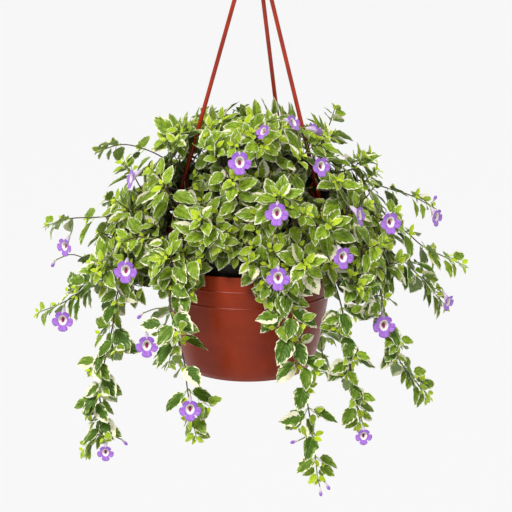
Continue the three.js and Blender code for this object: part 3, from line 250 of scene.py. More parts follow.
@dataclass(frozen=True)
class HangerPlan:
    """Sizes of the hook, its hub and the three arms, in millimetres."""

    hook_x: float = 9.8
    bearing: float = 700.0
    rod: float = 3.3
    loop: float = 17.0
    loop_start: float = -48.0
    loop_tip: float = 208.0
    apex: float = 653.8
    hub_bottom: float = 606.0
    hub_top: float = 640.0
    hub_outline: tuple = ((14, 606), (15.5, 608), (14.5, 622), (7, 636), (5, 640))
    arm_top: float = 626.0
    arm_radius: float = 3.1
    socket_air: float = 0.3
    ear_circle: float = 131.0
    ear_top: float = 162.0
    ear_thick: float = 4.0
    ear_size: float = 14.0
    ear_hole: float = 2.6
    spigot: float = 1.9
    barb_radius: float = 3.9
    barb_height: float = 7.0
    barb_tip: float = 1.2
    arm_straight: float = 7.0
    arm_bend: float = 24.0
    eye_top: float = 286.0
    eye_width: float = 11.0
    eye_height: float = 26.0
    finger_radius: float = 1.9
    finger_line: tuple = ((0, 0), (0.3, 0.75), (0.6, 1), (1, 0.55))
    bearings: tuple = (("left", 182.0), ("right", 356.0), ("back", 57.5))

    def ear(self, degrees: float) -> Vec:
        """The top of the ear that an arm clips into."""
        return on_circle(self.ear_circle, degrees, self.ear_top)

    def at(self, degrees: float, z: float) -> Vec:
        """The point of an arm's straight line at a height."""
        top = vec(self.hook_x, 0, self.apex)
        return top + (self.ear(degrees) - top) * ((self.apex - z) / (self.apex - self.ear_top))


def on_circle(radius: float, degrees: float, z: float) -> Vec:
    """A point on a circle round the pot's axis."""
    return vec(radius * math.cos(rad(degrees)), radius * math.sin(rad(degrees)), z)


@dataclass(frozen=True)
class Dome:
    """The rounded space that the foliage fills, in millimetres."""

    x: float = 245.0
    front: float = 185.0
    back: float = 210.0
    up: float = 225.0
    base: float = 165.0

    def level(self, p: Vec) -> float:
        """How far out a point lies: 1 on the dome's skin.

        Args:
            p: the point, in plan millimetres.

        Returns:
            The level.
        """
        depth = self.front if p[1] < 0 else self.back
        height = max(p[2] - self.base, 0)
        return math.hypot(p[0] / self.x, p[1] / depth, height / self.up)

    def point(self, angle: float, rise: float, level: float) -> Vec:
        """The point at a bearing and a rise, both in radians, at a level.

        Args:
            angle: the bearing, in radians.
            rise: the rise, in radians.
            level: how far out, with 1 on the skin.

        Returns:
            The point, in plan millimetres.
        """
        depth = self.front if math.sin(angle) < 0 else self.back
        flat = math.cos(rise) * level
        return vec(self.x * flat * math.cos(angle), depth * flat * math.sin(angle),
                   self.base + self.up * level * math.sin(rise))

    def normal(self, p: Vec) -> Vec:
        """The outward direction of the dome's skin near a point."""
        depth = self.front if p[1] < 0 else self.back
        return unit(vec(p[0] / self.x ** 2, p[1] / depth ** 2, (p[2] - self.base) / self.up ** 2))


@dataclass(frozen=True)
class PlantPlan:
    """The growth rules that the solids follow too. Lengths in millimetres."""

    root_circles: tuple = (74, 48, 92)
    root_depth: float = 18.0
    collar_rise: float = 5.0
    node_step: float = 38.0
    tip_step: float = 13.0
    stem_radius: float = 1.5
    shoot_radius: float = 1.15
    deepest_leaf: float = 0.87
    leaf_sizes: tuple = (18, 38, 46, 50, 52)
    smallest: float = 33.0
    leaf_clear: float = 6.2
    own_clear: float = 4.2
    stem_clear: float = 4.4
    shoot_clear: float = 5.0
    fold: float = 0.28
    curl: float = 0.1
    droop: tuple = (0.1, 0.0042)
    roll: float = 0.5
    steepest: float = 0.55
    light: tuple = (0.6, 0.8)
    rosettes: int = 54
    rosette_fall: float = 0.93
    rosette_level: float = 0.93
    rosette_drift: tuple = (0.16, 0.08, 0.08)
    lowest_rosette: float = -0.12
    bare_front: float = 0.42
    bare_rise: float = 0.26
    tip_gaps: tuple = (36.0, 44.0)
    shoot_reach: tuple = (34.0, 150.0)
    shoot_turn: float = -0.2
    shoot_ahead: float = 35.0
    shoot_choices: int = 14
    stalk_reach: float = 120.0
    stalk_ahead: float = 22.0
    stalk_choices: int = 24
    bloom_room: tuple = (-5.0, 10.0)
    bloom_air: float = 48.0
    tube_room: float = 6.0
    rim_room: float = 4.0
    eye_room: float = 8.0
    leaf_gaps: tuple = (4.5, 3.0)
    shoot_gaps: tuple = (4.0, 2.0)
    stalk_gap: float = 3.0
    pair_gap: float = 28.0
    size_draw: tuple = (0.9, 0.16)
    lean_draw: tuple = (0.42, 0.2)
    least_spread: float = 0.12
    stem_seed: int = 100
    shoot_seed: int = 1000
    rosette_seed: int = 900
    bloom_radius: float = 18.0
    bloom_tube: float = 22.0
    tube_rise: float = 40.0
    calyx: float = 7.0
    bud_length: float = 15.0
    thread: float = 5.0
    spin_tries: tuple = (0, 16, -16, 32, -32, 50, -50)
    lean_tries: tuple = (0, 0.25, -0.25, 0.5)
    size_tries: tuple = (1, 0.86)
    probes: tuple = ((0.22, 0), (0.38, 0), (0.54, 0), (0.7, 0), (0.85, 0), (1, 0), (0.38, 0.13),
                     (0.54, 0.12), (0.7, 0.1), (0.42, 0.23), (0.38, -0.13), (0.54, -0.12),
                     (0.7, -0.1), (0.42, -0.23))


@dataclass(frozen=True)
class FinePlan:
    """Growth rules of the small leaves, tufts and twigs that only this model carries."""

    tip_tuft: tuple = ((1, 11), (6, 17), (13, 24), (23, 31))
    shoot_tuft: tuple = ((0.5, 10), (4.5, 21))
    axil_share: float = 0.62
    axil_length: tuple = (7.0, 19.0)
    sprig_share: float = 0.5
    sprig_length: tuple = (22.0, 44.0)
    sprig_leaves: tuple = ((0.5, 12), (8, 27), (20, 39))
    sprig_from: int = 2
    twigs: int = 1000
    twig_reach: tuple = (14.0, 105.0)
    twig_gap: float = 22.0
    twig_levels: tuple = (0.74, 0.97)
    twig_leaves: tuple = ((1, 11), (6, 22), (14, 33), (25, 41), (37, 45))
    mass: int = 1100
    mass_gap: float = 17.0
    mass_levels: tuple = (0.4, 0.84)
    mass_leaves: tuple = ((1, 22), (9, 30), (18, 36), (28, 38))
    bare_front: tuple = (-0.42, -0.04)
    bare_rise: float = 0.2
    inner_level: float = 0.42
    light: tuple = (0.85, 0.72, 0.4)
    front_ends: float = 80.0
    clearance: float = 3.2
    air: float = 3.0
    bloom_air: float = 1.5
    twig_air: float = 3.4
    tip_air: float = 9.0
    size_draw: tuple = (0.85, 0.3)
    lean_draw: tuple = (0.45, 0.3)
    young_size: float = 20.0
    young_lean: float = 0.35
    tuft_way: tuple = (0.75, 0.7, 0.35)
    tuft_first: tuple = (0.5, 8.5)
    inner_sizes: tuple = (34.0, 50.0)
    inner_lean: float = 0.3
    twig_ahead: float = 14.0
    # Dome levels over which the painted shade of the deep leaves sets in.
    shade_levels: tuple = (0.91, 0.28)
    tuft_seed: int = 3000
    inner_seed: int = 5000
    twig_seed: int = 7000
    mass_seed: int = 8000
    rim_front: float = 1.1
    rim_share: float = 0.1
    arm_sight: tuple = (("left", 204.0), ("right", 262.0))
    arm_sight_top: float = 420.0
    arm_sight_room: float = 6.5
    spin_tries: tuple = (0, 22, -22, 45)
    lean_tries: tuple = (0, 0.35)
    probes: tuple = ((0.45, 0), (0.72, 0), (1, 0), (0.5, 0.16), (0.5, -0.16))


@dataclass
class Leaf:
    """One leaf: where it roots, how it lies, and how long it is with its stalk."""

    root: Vec
    facing: Vec
    normal: Vec
    side: Vec
    size: float
    joint: int = 0
    shade: float = 0.0

    def point(self, along: float, across: float, plan: PlantPlan) -> Vec:
        """A point of the leaf's middle surface, in shares of its length.

        Args:
            along: share of the leaf's length.
            across: share of the length to one side.
            plan: the growth rules, for fold and curl.

        Returns:
            The point.
        """
        rise = (plan.fold * abs(across) - plan.curl * along * along) * self.size
        return (self.root + self.facing * (along * self.size) + self.side * (across * self.size)
                + self.normal * rise)


@dataclass
class Twig:
    """A woody line with its leaves."""

    path: list
    radius: float
    tip_radius: float
    leaves: list = field(default_factory=list)
    age: float = 1.0


@dataclass
class Bloom:
    """One open flower: its face, the way that it looks, and its rising tube."""

    name: str
    centre: Vec
    facing: Vec
    scale: float
    plan: PlantPlan

    def __post_init__(self) -> None:
        """Works out the flower's own directions and the heel of its tube."""
        self.side = unit(np.cross(vec(0, 0, 1), self.facing))
        self.over = np.cross(self.facing, self.side)
        rise = rad(self.plan.tube_rise)
        self.along = self.facing * math.cos(rise) - self.over * math.sin(rise)
        self.heel = self.centre - self.along * (self.plan.bloom_tube * self.scale)


@dataclass
class LeafyStem:
    """A rooted stem with all that grows on it."""

    name: str
    index: int
    path: list
    shoots: list = field(default_factory=list)
    stalks: list = field(default_factory=list)
    buds: list = field(default_factory=list)
    calyxes: list = field(default_factory=list)
    twigs: list = field(default_factory=list)


class Crowd:
    """A grid of points that remembers which stem each belongs to."""

    cell = 8.0

    def __init__(self) -> None:
        """Starts with no points."""
        self.cells: dict = {}

    def add(self, point: Vec, owner: int, kind: str) -> None:
        """Remembers a point.

        Args:
            point: the place.
            owner: the index of the stem that it belongs to.
            kind: stem or leaf.
        """
        x, y, z = point.tolist()
        key = (x // self.cell, y // self.cell, z // self.cell)
        self.cells.setdefault(key, []).append((x, y, z, owner, kind))

    def clear(self, point: Vec, owner: int, limits: Limits) -> bool:
        """Says whether no remembered point lies nearer than its own clearance.

        Args:
            point: the place that is wanted.
            owner: the stem that asks.
            limits: gives the clearance from a point's owner and kind, and the asking owner.

        Returns:
            True where the place is free.
        """
        px, py, pz = point.tolist()
        kx, ky, kz = px // self.cell, py // self.cell, pz // self.cell
        for i in (kx - 1, kx, kx + 1):
            for j in (ky - 1, ky, ky + 1):
                for k in (kz - 1, kz, kz + 1):
                    for x, y, z, other, kind in self.cells.get((i, j, k), ()):
                        limit = limits(other, kind, owner)
                        if limit > 0 and (x - px) ** 2 + (y - py) ** 2 + (z - pz) ** 2 < limit * limit:
                            return False
        return True


def smooth(points: Sequence[Vec], per_span: int) -> list:
    """A smooth curve through the points.

    Args:
        points: the points that the curve passes.
        per_span: how many steps each stretch between two points gets.

    Returns:
        The curve's points, first and last included.
    """
    def at(k: int) -> Vec:
        """A point of the row, carried on past its ends."""
        if k < 0:
            return points[0] * 2 - points[1]
        return points[-1] * 2 - points[-2] if k >= len(points) else points[k]

    curve = []
    for k in range(len(points) - 1):
        a, b, c, d = at(k - 1), at(k), at(k + 1), at(k + 2)
        start, end = 0.5 * (c - a), 0.5 * (d - b)
        bend = 3 * (c - b) - 2 * start - end
        swing = 2 * (b - c) + start + end
        for i in range(per_span):
            t = i / per_span
            curve.append(b + start * t + bend * t * t + swing * t * t * t)
    return [*curve, points[-1].copy()]


def evenly(points: Sequence[Vec], step: float) -> list:
    """Even steps of about the given length along a smooth curve through the points.

    Args:
        points: the points that the curve passes.
        step: the length of a step.

    Returns:
        The points of the steps.
    """
    curve = smooth(points, 24)
    lengths = [0.0]
    for a, b in zip(curve, curve[1:]):
        lengths.append(lengths[-1] + span(a, b))
    count = max(2, math.floor(lengths[-1] / step + 0.5))
    result, index = [], 1
    for k in range(count + 1):
        goal = lengths[-1] * k / count
        while index < len(curve) - 1 and lengths[index] < goal:
            index += 1
        share = (goal - lengths[index - 1]) / (lengths[index] - lengths[index - 1])
        result.append(curve[index - 1] + (curve[index] - curve[index - 1]) * share)
    return result


def along_path(points: Sequence[Vec], step: float) -> list:
    """Points at most a step apart along straight lengths.

    Args:
        points: the corners of the line.
        step: the length of a step.

    Returns:
        The points.
    """
    result = []
    for a, b in zip(points, points[1:]):
        count = max(1, math.ceil(span(a, b) / step))
        result.extend(a + (b - a) * (k / count) for k in range(count + 1))
    return result


def tangent_at(points: Sequence[Vec], index: int) -> Vec:
    """The direction of a path at one of its points."""
    return unit(points[min(index + 1, len(points) - 1)] - points[max(index - 1, 0)])


def on_segment(p: Vec, a: Vec, b: Vec) -> float:
    """The distance from a point to a straight length.

    Args:
        p: the point, in plan millimetres.
        a: one end.
        b: the other end.

    Returns:
        The distance.
    """
    way = b - a
    share = clamp(float((p - a) @ way) / float(way @ way), 0, 1)
    return span(p, a + way * share)


class Planting:
    """Grows the whole plant by rule: stems, shoots, stalks, leaves, and the fine growth."""

    def __init__(self, plan: PlantPlan, fine: FinePlan, pot: PotPlan, hanger: HangerPlan,
                 dome: Dome) -> None:
        """Takes the plans and grows the plant.

        Args:
            plan: the growth rules shared with the solids.
            fine: the rules of the small growth.
            pot: the pot that the plant stands in.
            hanger: the hanger that it grows round.
            dome: the space that the foliage fills.
        """
        self.plan, self.fine, self.pot, self.hanger, self.dome = plan, fine, pot, hanger, dome
        self.crowd = Crowd()
        self.arms = [(hanger.at(turn, hanger.arm_top), hanger.ear(turn)) for _, turn in hanger.bearings]
        self.sights = self.sight_lines()
        self.blooms = [Bloom(name, vec(*place), unit(vec(*way)), scale, plan)
                       for name, place, way, scale in BLOOMS]
        self.stems = [self.main_stem(index, name, via) for index, (name, via) in enumerate(STEMS)]
        self.grow_shoots()
        self.grow_stalks()
        self.grow_leaves()
        self.grow_fine()

    def clear_of_hardware(self, p: Vec, gap: float) -> bool:
        """Says whether a point keeps its gap from pot, liner, soil and hanger.

        Args:
            p: the point, in plan millimetres.
            gap: the clearance that is wanted.

        Returns:
            True where it does.
        """
        plan, pot, hanger = self.plan, self.pot, self.hanger
        r = math.hypot(p[0], p[1])
        if p[2] < pot.height + plan.rim_room and r < pot.radius_at(max(p[2], 0)) + gap:
            return False
        lip = pot.liner_radius + pot.lip
        if p[2] < pot.liner_top + gap and pot.liner_radius - pot.lip - plan.rim_room < r < lip + gap:
            return False
        if p[2] < pot.soil_top + gap and r < pot.liner_radius:
            return False
        eye_low = hanger.eye_top - hanger.eye_height - plan.eye_room
        near_eye = eye_low < p[2] < hanger.eye_top + plan.eye_room
        room = hanger.arm_radius + gap * 0.6 + (hanger.eye_width if near_eye else 0)
        return all(on_segment(p, a, b) > room for a, b in self.arms)

    def clear_of_blooms(self, p: Vec, gap: float) -> bool:
        """Says whether a point leaves each bloom its room and open air before its face.

        Args:
            p: the point, in plan millimetres.
            gap: the clearance that is wanted.

        Returns:
            True where it does.
        """
        behind, before = self.plan.bloom_room
        for bloom in self.blooms:
            away = p - bloom.centre
            ahead = float(away @ bloom.facing)
            side = math.sqrt(max(float(away @ away) - ahead * ahead, 0))
            radius = self.plan.bloom_radius * bloom.scale
            if behind < ahead < before:
                if side <= radius + gap:
                    return False
            elif before <= ahead < self.plan.bloom_air:
                if side <= radius * 0.72:
                    return False
            elif on_segment(p, bloom.centre, bloom.heel) <= self.plan.tube_room + gap * 0.5:
                return False
        return True

    def sight_lines(self) -> list:
        """Points of the front arms as the camera sees them: across, up, depth and room.

        Returns:
            One row for each point.
        """
        fine, hanger = self.fine, self.hanger
        turns = dict(hanger.bearings)
        lines = []
        for name, low in fine.arm_sight:
            for z in np.arange(low, fine.arm_sight_top, 5.0):
                x, up, depth = self.seen(hanger.at(turns[name], float(z)))
                by_finger = hanger.eye_top - hanger.eye_height < z < hanger.eye_top
                room = fine.arm_sight_room + (hanger.eye_width if by_finger else 0)
                lines.append((x, up, depth, room))
        return lines

    @staticmethod
    def seen(p: Vec) -> tuple:
        """Where the photograph's camera sees a point: across, up and depth.

        Args:
            p: the point, in plan millimetres.

        Returns:
            The three measures.
        """
        tilt = rad(Studio.fall)
        return (p[0], p[2] * math.cos(tilt) + p[1] * math.sin(tilt),
                p[1] * math.cos(tilt) - p[2] * math.sin(tilt))

    def clear_of_view(self, p: Vec) -> bool:
        """Says whether a point leaves the front arms in sight of the camera.

        Args:
            p: the point, in plan millimetres.

        Returns:
            True where it does.
        """
        x, up, depth = self.seen(p)
        return not any(depth < far and abs(up - height) < 5 and abs(x - middle) < room
                       for middle, height, far, room in self.sights)

    def between_stems(self, other: int, kind: str, owner: int) -> float:
        """The clearance of a shoot or stalk."""
        return 0 if other == owner else self.plan.shoot_clear

    def leaf_limits(self, other: int, kind: str, owner: int) -> float:
        """The clearance of a leaf's outer half.

        Args:
            other: the stem of the point in the way.
            kind: stem or leaf.
            owner: the stem that asks.

        Returns:
            The clearance, 0 for none.
        """
        if kind == "stem":
            return 0 if other == owner else self.plan.stem_clear
        return self.plan.own_clear if other == owner else self.plan.leaf_clear

    def root_limits(self, other: int, kind: str, owner: int) -> float:
        """The clearance of a leaf's inner half."""
        return 0 if other == owner else self.leaf_limits(other, kind, owner)

    def fine_limits(self, other: int, kind: str, owner: int) -> float:
        """The clearance of the fine growth's leaves."""
        return 0.0 if kind == "stem" and other == owner else self.fine.clearance

    def remember(self, points: Sequence[Vec], owner: int, kind: str) -> None:
        """Remembers a line in the crowd."""
        for point in along_path(points, self.plan.thread):
            self.crowd.add(point, owner, kind)

    def line_is_clear(self, points: Sequence[Vec], owner: int, gap: float,
                      bloom_gap: float | None = None) -> bool:
        """Says whether a line is free of hardware and other stems, and of blooms where asked."""
        return all(self.clear_of_hardware(p, gap)
                   and (bloom_gap is None or self.clear_of_blooms(p, bloom_gap))
                   and self.crowd.clear(p, owner, self.between_stems)
                   for p in along_path(points, self.plan.thread)[1:])

    def main_stem(self, index: int, name: str, via: Sequence[tuple]) -> LeafyStem:
        """A stem that rises out of the soil and follows its own points.

        Args:
            index: the stem's number.
            name: the stem's name.
            via: the points that it passes.

        Returns:
            The stem, with nothing on it yet.
        """
        plan = self.plan
        points = [vec(*place) for place in via]
        turn = math.atan2(points[0][1], points[0][0])
        circle = plan.root_circles[index % len(plan.root_circles)]
        foot = self.pot.soil_top - plan.root_depth
        root = vec(circle * math.cos(turn), circle * math.sin(turn), foot)
        collar = vec(root[0], root[1], self.pot.soil_top + plan.collar_rise)
        path = [root, *evenly([collar, *points], plan.node_step)]
        self.remember(path, index, "stem")
        return LeafyStem(name, index, path)

    def shoot_path(self, start: Vec, tangent: Vec, tip: Vec, normal: Vec) -> list:
        """A bowed line from a joint out to a rosette's tip.

        Args:
            start: the joint that it leaves.
            tangent: the direction of the stem there.
            tip: where it ends.
            normal: the outward direction at the tip.

        Returns:
            The shoot's points.
        """
        reach = span(start, tip)
        bow = start + tangent * (reach * 0.38)
        lead = tip - normal * (reach * 0.4)
        rest = [tip - normal * (self.plan.tip_step * 1.7), tip - normal * (self.plan.tip_step * 0.75), tip]
        return [start, (bow + lead) * 0.5, *rest] if reach > 55 else [start, *rest]

    def best_shoot(self, tip: Vec, normal: Vec) -> tuple | None:
        """The stem and line that reach a tip best, where one is free.

        Args:
            tip: where the shoot ends.
            normal: the outward direction at the tip.

        Returns:
            The stem and the shoot's points, or None.
        """
        plan, choices = self.plan, []
        for stem in self.stems:
            for k in range(2, len(stem.path) - 1):
                way = tip - stem.path[k]
                reach = length_of(way)
                if reach < plan.shoot_reach[0] or reach > plan.shoot_reach[1]:
                    continue
                along = tangent_at(stem.path, k)
                turn = float(way @ along) / reach
                if turn >= plan.shoot_turn:
                    line = self.shoot_path(stem.path[k], along, tip, normal)
                    choices.append((reach - plan.shoot_ahead * turn, stem, line))
        choices.sort(key=lambda choice: choice[0])
        return next(((stem, line) for _, stem, line in choices[:plan.shoot_choices]
                     if self.line_is_clear(line[1:], stem.index, *plan.shoot_gaps)), None)

    def grow_shoots(self) -> None:
        """Grows side shoots to rosettes spread over the dome by the golden turn."""
        plan, dome = self.plan, self.dome
        for k in range(plan.rosettes):
            draw = Draws(plan.rosette_seed + k)
            height = 1 - (k + 0.5) / (plan.rosettes * plan.rosette_fall)
            angle = k * GOLDEN + (draw() - 0.5) * plan.rosette_drift[0]
            rise = math.asin(max(plan.lowest_rosette, height)) + (draw() - 0.5) * plan.rosette_drift[1]
            tip = dome.point(angle, rise, plan.rosette_level + plan.rosette_drift[2] * draw())
            normal = unit(dome.normal(tip) + vec(0, 0, 0.25))
            if abs(math.atan2(tip[0], -tip[1])) < plan.bare_front and rise < plan.bare_rise:
                continue
            if any(span(stem.path[-1], tip) < plan.tip_gaps[0]
                   or any(span(shoot[-1], tip) < plan.tip_gaps[1] for shoot in stem.shoots)
                   for stem in self.stems):
                continue
            found = self.best_shoot(tip, normal)
            if found:
                found[0].shoots.append(found[1])
                self.remember(found[1], found[0].index, "stem")

    def stalk_to(self, goal: Vec, facing: Vec, smallest: float) -> tuple | None:
        """The nearest free joint for a stalk that ends at the goal.

        Args:
            goal: where the stalk ends.
            facing: the direction in which it arrives.
            smallest: the shortest stalk that is worth having.

        Returns:
            The stem and the stalk's points, or None.
        """
        plan, joints = self.plan, []
        for stem in self.stems:
            for path in [stem.path[2:], *[shoot[1:] for shoot in stem.shoots]]:
                for start in path:
                    way = goal - start
                    reach = length_of(way)
                    if smallest <= reach <= plan.stalk_reach:
                        cost = reach - plan.stalk_ahead * (float(way @ facing) / reach)
                        joints.append((cost, stem, start))
        joints.sort(key=lambda joint: joint[0])
        for _, stem, start in joints[:plan.stalk_choices]:
            lead = goal - facing * (0.3 * span(start, goal))
            line = [start, start + (lead - start) * 0.6, goal]
            if self.line_is_clear(line, stem.index, plan.stalk_gap):
                return stem, line
        return None

    def grow_stalks(self) -> None:
        """Grows a stalk to each bloom and bud."""
        plan = self.plan
        for bloom in self.blooms:
            goal = bloom.heel - bloom.along * (plan.calyx + 0.3)
            stem, line = self.stalk_to(goal, bloom.along, 12)
            stem.stalks.append([*line, bloom.heel + bloom.along * 0.4])
            stem.calyxes.append(bloom)
            self.remember(line, stem.index, "stem")
            self.remember([bloom.heel, bloom.centre], -1, "stem")
        for place, pointing in BUDS:
            facing, centre = unit(vec(*pointing)), vec(*place)
            found = self.stalk_to(centre - facing * (plan.bud_length * 0.3), facing, 8)
            if found:
                found[0].stalks.append([*found[1], centre])
                found[0].buds.append((centre, facing))
                self.remember(found[1], found[0].index, "stem")

    def pose_leaf(self, root: Vec, axis: Vec, base: float, extra: float, way: int, lean: float,
                  size: float, draw: float, sun: tuple | None = None) -> Leaf:
        """Lays one leaf out from its joint, turned to the light and drooping by its size.

        Args:
            root: where the leaf starts.
            axis: the twig's direction there.
            base: which way the pair is turned, 1 or -1.
            extra: a further turn round the twig, in degrees.
            way: 1 for one side of the twig and -1 for the other.
            lean: how far the leaf leans along the twig, in radians.
            size: its length with its stalk.
            draw: random draw, for the roll.
            sun: where the light comes from: outward, up and front.

        Returns:
            The leaf.
        """
        plan = self.plan
        out = math.hypot(root[0], root[1]) or 1
        flat, rise, front = sun or (*plan.light, 0)
        ahead = front if root[1] < self.fine.front_ends else 0
        light = vec(flat * root[0] / out, flat * root[1] / out - ahead, rise)
        light = unit(light) if sun else light
        across = np.cross(axis, light)
        spread = length_of(across)
        if spread < plan.least_spread:
            across = np.cross(axis, vec(0.3, -0.9, 0.2))
        across = unit(across)
        over = unit(np.cross(across, axis))
        tight = clamp((spread - 0.45) / 0.4, 0, 1)
        turn = rad(base * (45 - 20 * tight) + extra)
        outward = (across * math.cos(turn) + over * math.sin(turn)) * way
        facing = outward * math.cos(lean) + axis * math.sin(lean)
        facing[2] -= plan.droop[0] + plan.droop[1] * size
        facing = unit(facing)
        swept = clamp(float(facing @ axis), -plan.steepest, plan.steepest)
        facing = unit(facing - axis * float(facing @ axis))
        facing = facing * math.sqrt(1 - swept * swept) + axis * swept
        normal = unit(light - facing * float(light @ facing))
        side = np.cross(normal, facing)
        roll = (draw - 0.5) * plan.roll
        normal = normal * math.cos(roll) + side * math.sin(roll)
        return Leaf(root, facing, normal, np.cross(normal, facing), size)

    def leaf_is_clear(self, leaf: Leaf, owner: int) -> bool:
        """Says whether a large leaf is free of everything that stands already.

        Args:
            leaf: the leaf.
            owner: the index of the stem that it belongs to.

        Returns:
            True where it is.
        """
        gap, bloom_gap = self.plan.leaf_gaps
        for along, across in self.plan.probes:
            point = leaf.point(along, across, self.plan)
            limits = self.root_limits if along < 0.5 else self.leaf_limits
            if not (self.clear_of_hardware(point, gap) and self.clear_of_blooms(point, bloom_gap)
                    and self.crowd.clear(point, owner, limits)):
                return False
        return True

    def settle_leaf(self, root: Vec, axis: Vec, base: float, way: int, lean: float, size: float,
                    owner: int, draw: float) -> Leaf | None:
        """Tries poses in turn until a large leaf finds room.

        Args:
            root: where the leaf starts.
            axis: the twig's direction there.
            base: which way the pair is turned, 1 or -1.
            way: 1 for one side of the twig and -1 for the other.
            lean: how far the leaf leans along the twig, in radians.
            size: its length with its stalk.
            owner: the index of the stem that it belongs to.
            draw: random draw, for the roll.

        Returns:
            The leaf, or None where no pose is free.
        """
        plan = self.plan
        for shrink in plan.size_tries:
            for tilt in plan.lean_tries:
                for extra in plan.spin_tries:
                    leaf = self.pose_leaf(root, axis, base, extra, way, lean + tilt, size * shrink, draw)
                    if self.leaf_is_clear(leaf, owner):
                        for along, across in plan.probes:
                            self.crowd.add(leaf.point(along, across, plan), owner, "leaf")
                        return leaf
        return None

    def leaves_on(self, path: Sequence[Vec], owner: int, seed: int) -> list:
        """Large leaf pairs from the tip inwards, each a size larger until full grown.

        Args:
            path: the points of the stem or shoot.
            owner: the index of the stem that it belongs to.
            seed: starts the random draws.

        Returns:
            The leaves that found room.
        """
        plan, draw, leaves, from_tip = self.plan, Draws(seed), [], 0.0
        last, most = len(path) - 1, len(plan.leaf_sizes) - 1
        for k in range(last - 1, 0, -1):
            from_tip += span(path[k], path[k + 1])
            if self.dome.level(path[k]) < plan.deepest_leaf and path[k][2] > self.dome.base - 10:
                break
            grade = min(max(last - k, from_tip / plan.pair_gap), most)
            low = math.floor(grade)
            grown = blend(plan.leaf_sizes[low], plan.leaf_sizes[min(low + 1, most)], grade - low)
            base = 1 if (last - k) % 2 == 0 else -1
            for way in (1, -1):
                size = grown * (plan.size_draw[0] + plan.size_draw[1] * draw())
                lean = plan.lean_draw[0] + plan.lean_draw[1] * draw()
                roll = draw()
                if size < plan.smallest:
                    continue
                leaf = self.settle_leaf(path[k], tangent_at(path, k), base, way, lean, size, owner, roll)
                if leaf:
                    leaf.joint = k
                    leaves.append(leaf)
        return leaves

    def grow_leaves(self) -> None:
        """Grows the large leaves on all stems, and then on their shoots."""
        for stem in self.stems:
            leaves = self.leaves_on(stem.path, stem.index, self.plan.stem_seed + stem.index)
            stem.twigs.append(Twig(stem.path, self.plan.stem_radius, 0.8, leaves))
        for stem in self.stems:
            for k, path in enumerate(stem.shoots):
                seed = self.plan.shoot_seed + 40 * stem.index + k
                leaves = self.leaves_on(path, stem.index, seed)
                stem.twigs.append(Twig(path, self.plan.shoot_radius, 0.7, leaves, 0.7))

    def fine_leaf(self, root: Vec, axis: Vec, base: float, way: int, lean: float, size: float,
                  owner: int, draw: float) -> Leaf | None:
        """Tries a few poses for a small leaf, which may stand closer to others.

        Args:
            root: where the leaf starts.
            axis: the twig's direction there.
            base: which way the pair is turned, 1 or -1.
            way: 1 for one side of the twig and -1 for the other.
            lean: how far the leaf leans along the twig, in radians.
            size: its length with its stalk.
            owner: the index of the stem that it belongs to.
            draw: random draw, for the roll.

        Returns:
            The leaf, or None where no pose is free.
        """
        fine = self.fine
        for tilt in fine.lean_tries:
            for extra in fine.spin_tries:
                leaf = self.pose_leaf(root, axis, base, extra, way, lean + tilt, size, draw, fine.light)
                points = [leaf.point(along, across, self.plan) for along, across in fine.probes]
                if all(self.clear_of_hardware(p, fine.air) and self.clear_of_blooms(p, fine.bloom_air)
                       and self.clear_of_view(p)
                       and self.crowd.clear(p, owner, self.fine_limits) for p in points):
                    for p in points:
                        self.crowd.add(p, owner, "leaf")
                    return leaf
        return None

    def pairs_from_tip(self, path: Sequence[Vec], pairs: Sequence[tuple], owner: int,
                       draw: Draws, first_base: int = 1) -> list:
        """Small leaf pairs at stated distances from a twig's tip.

        Args:
            path: the twig's points.
            pairs: distance from the tip and leaf size, for each pair.
            owner: the stem's index.
            draw: the twig's random draws.
            first_base: which way the first pair is turned.

        Returns:
            The leaves that found room.
        """
        fine, line = self.fine, smooth(path, 6)[::-1]
        leaves, base = [], first_base
        walked, index = 0.0, 0
        for distance, size in pairs:
            while index < len(line) - 2 and walked + span(line[index], line[index + 1]) < distance:
                walked += span(line[index], line[index + 1])
                index += 1
            step = span(line[index], line[index + 1])
            share = clamp((distance - walked) / step, 0, 1)
            root = line[index] + (line[index + 1] - line[index]) * share
            axis = unit(line[index] - line[index + 1])
            for way in (1, -1):
                grown = size * (fine.size_draw[0] + fine.size_draw[1] * draw())
                lean = fine.lean_draw[0] + fine.lean_draw[1] * draw()
                lean += fine.young_lean if size < fine.young_size else 0
                leaf = self.fine_leaf(root, axis, base, way, lean, grown, owner, draw())
                if leaf:
                    leaves.append(leaf)
            base = -base
        return leaves

    def axil_tufts(self, stem: LeafyStem, twig: Twig, draw: Draws) -> list:
        """Short leafy tufts in the axils of a twig's large leaves, and longer sprigs on trails.

        Args:
            stem: the leafy stem.
            twig: the twig.
            draw: the twig's random draws.

        Returns:
            The tufts as twigs.
        """
        fine, tufts = self.fine, []
        for leaf in list(twig.leaves):
            axis = tangent_at(twig.path, leaf.joint)
            hangs = leaf.root[2] < self.dome.base + 20
            if draw() > fine.axil_share and not hangs:
                continue
            far = len(twig.path) - leaf.joint > fine.sprig_from
            if hangs and far and draw() < fine.sprig_share:
                length = blend(*fine.sprig_length, draw())
                pairs = list(fine.sprig_leaves)
            else:
                length = blend(*fine.axil_length, draw())
                pairs = [fine.tuft_first, (length * 0.42, 9 + length * 0.55)]
            out, ahead, over = fine.tuft_way
            way = unit(leaf.facing * out + axis * ahead + leaf.normal * over)
            tip = leaf.root + way * length
            if not (self.clear_of_hardware(tip, fine.air) and self.clear_of_blooms(tip, 2)):
                continue
            path = [leaf.root, leaf.root + way * (length * 0.55) + axis * 1.2, tip]
            grown = self.pairs_from_tip(path, pairs, stem.index, draw)
            tufts.append(Twig(path, 0.6, 0.45, grown, 0.1))
        return tufts

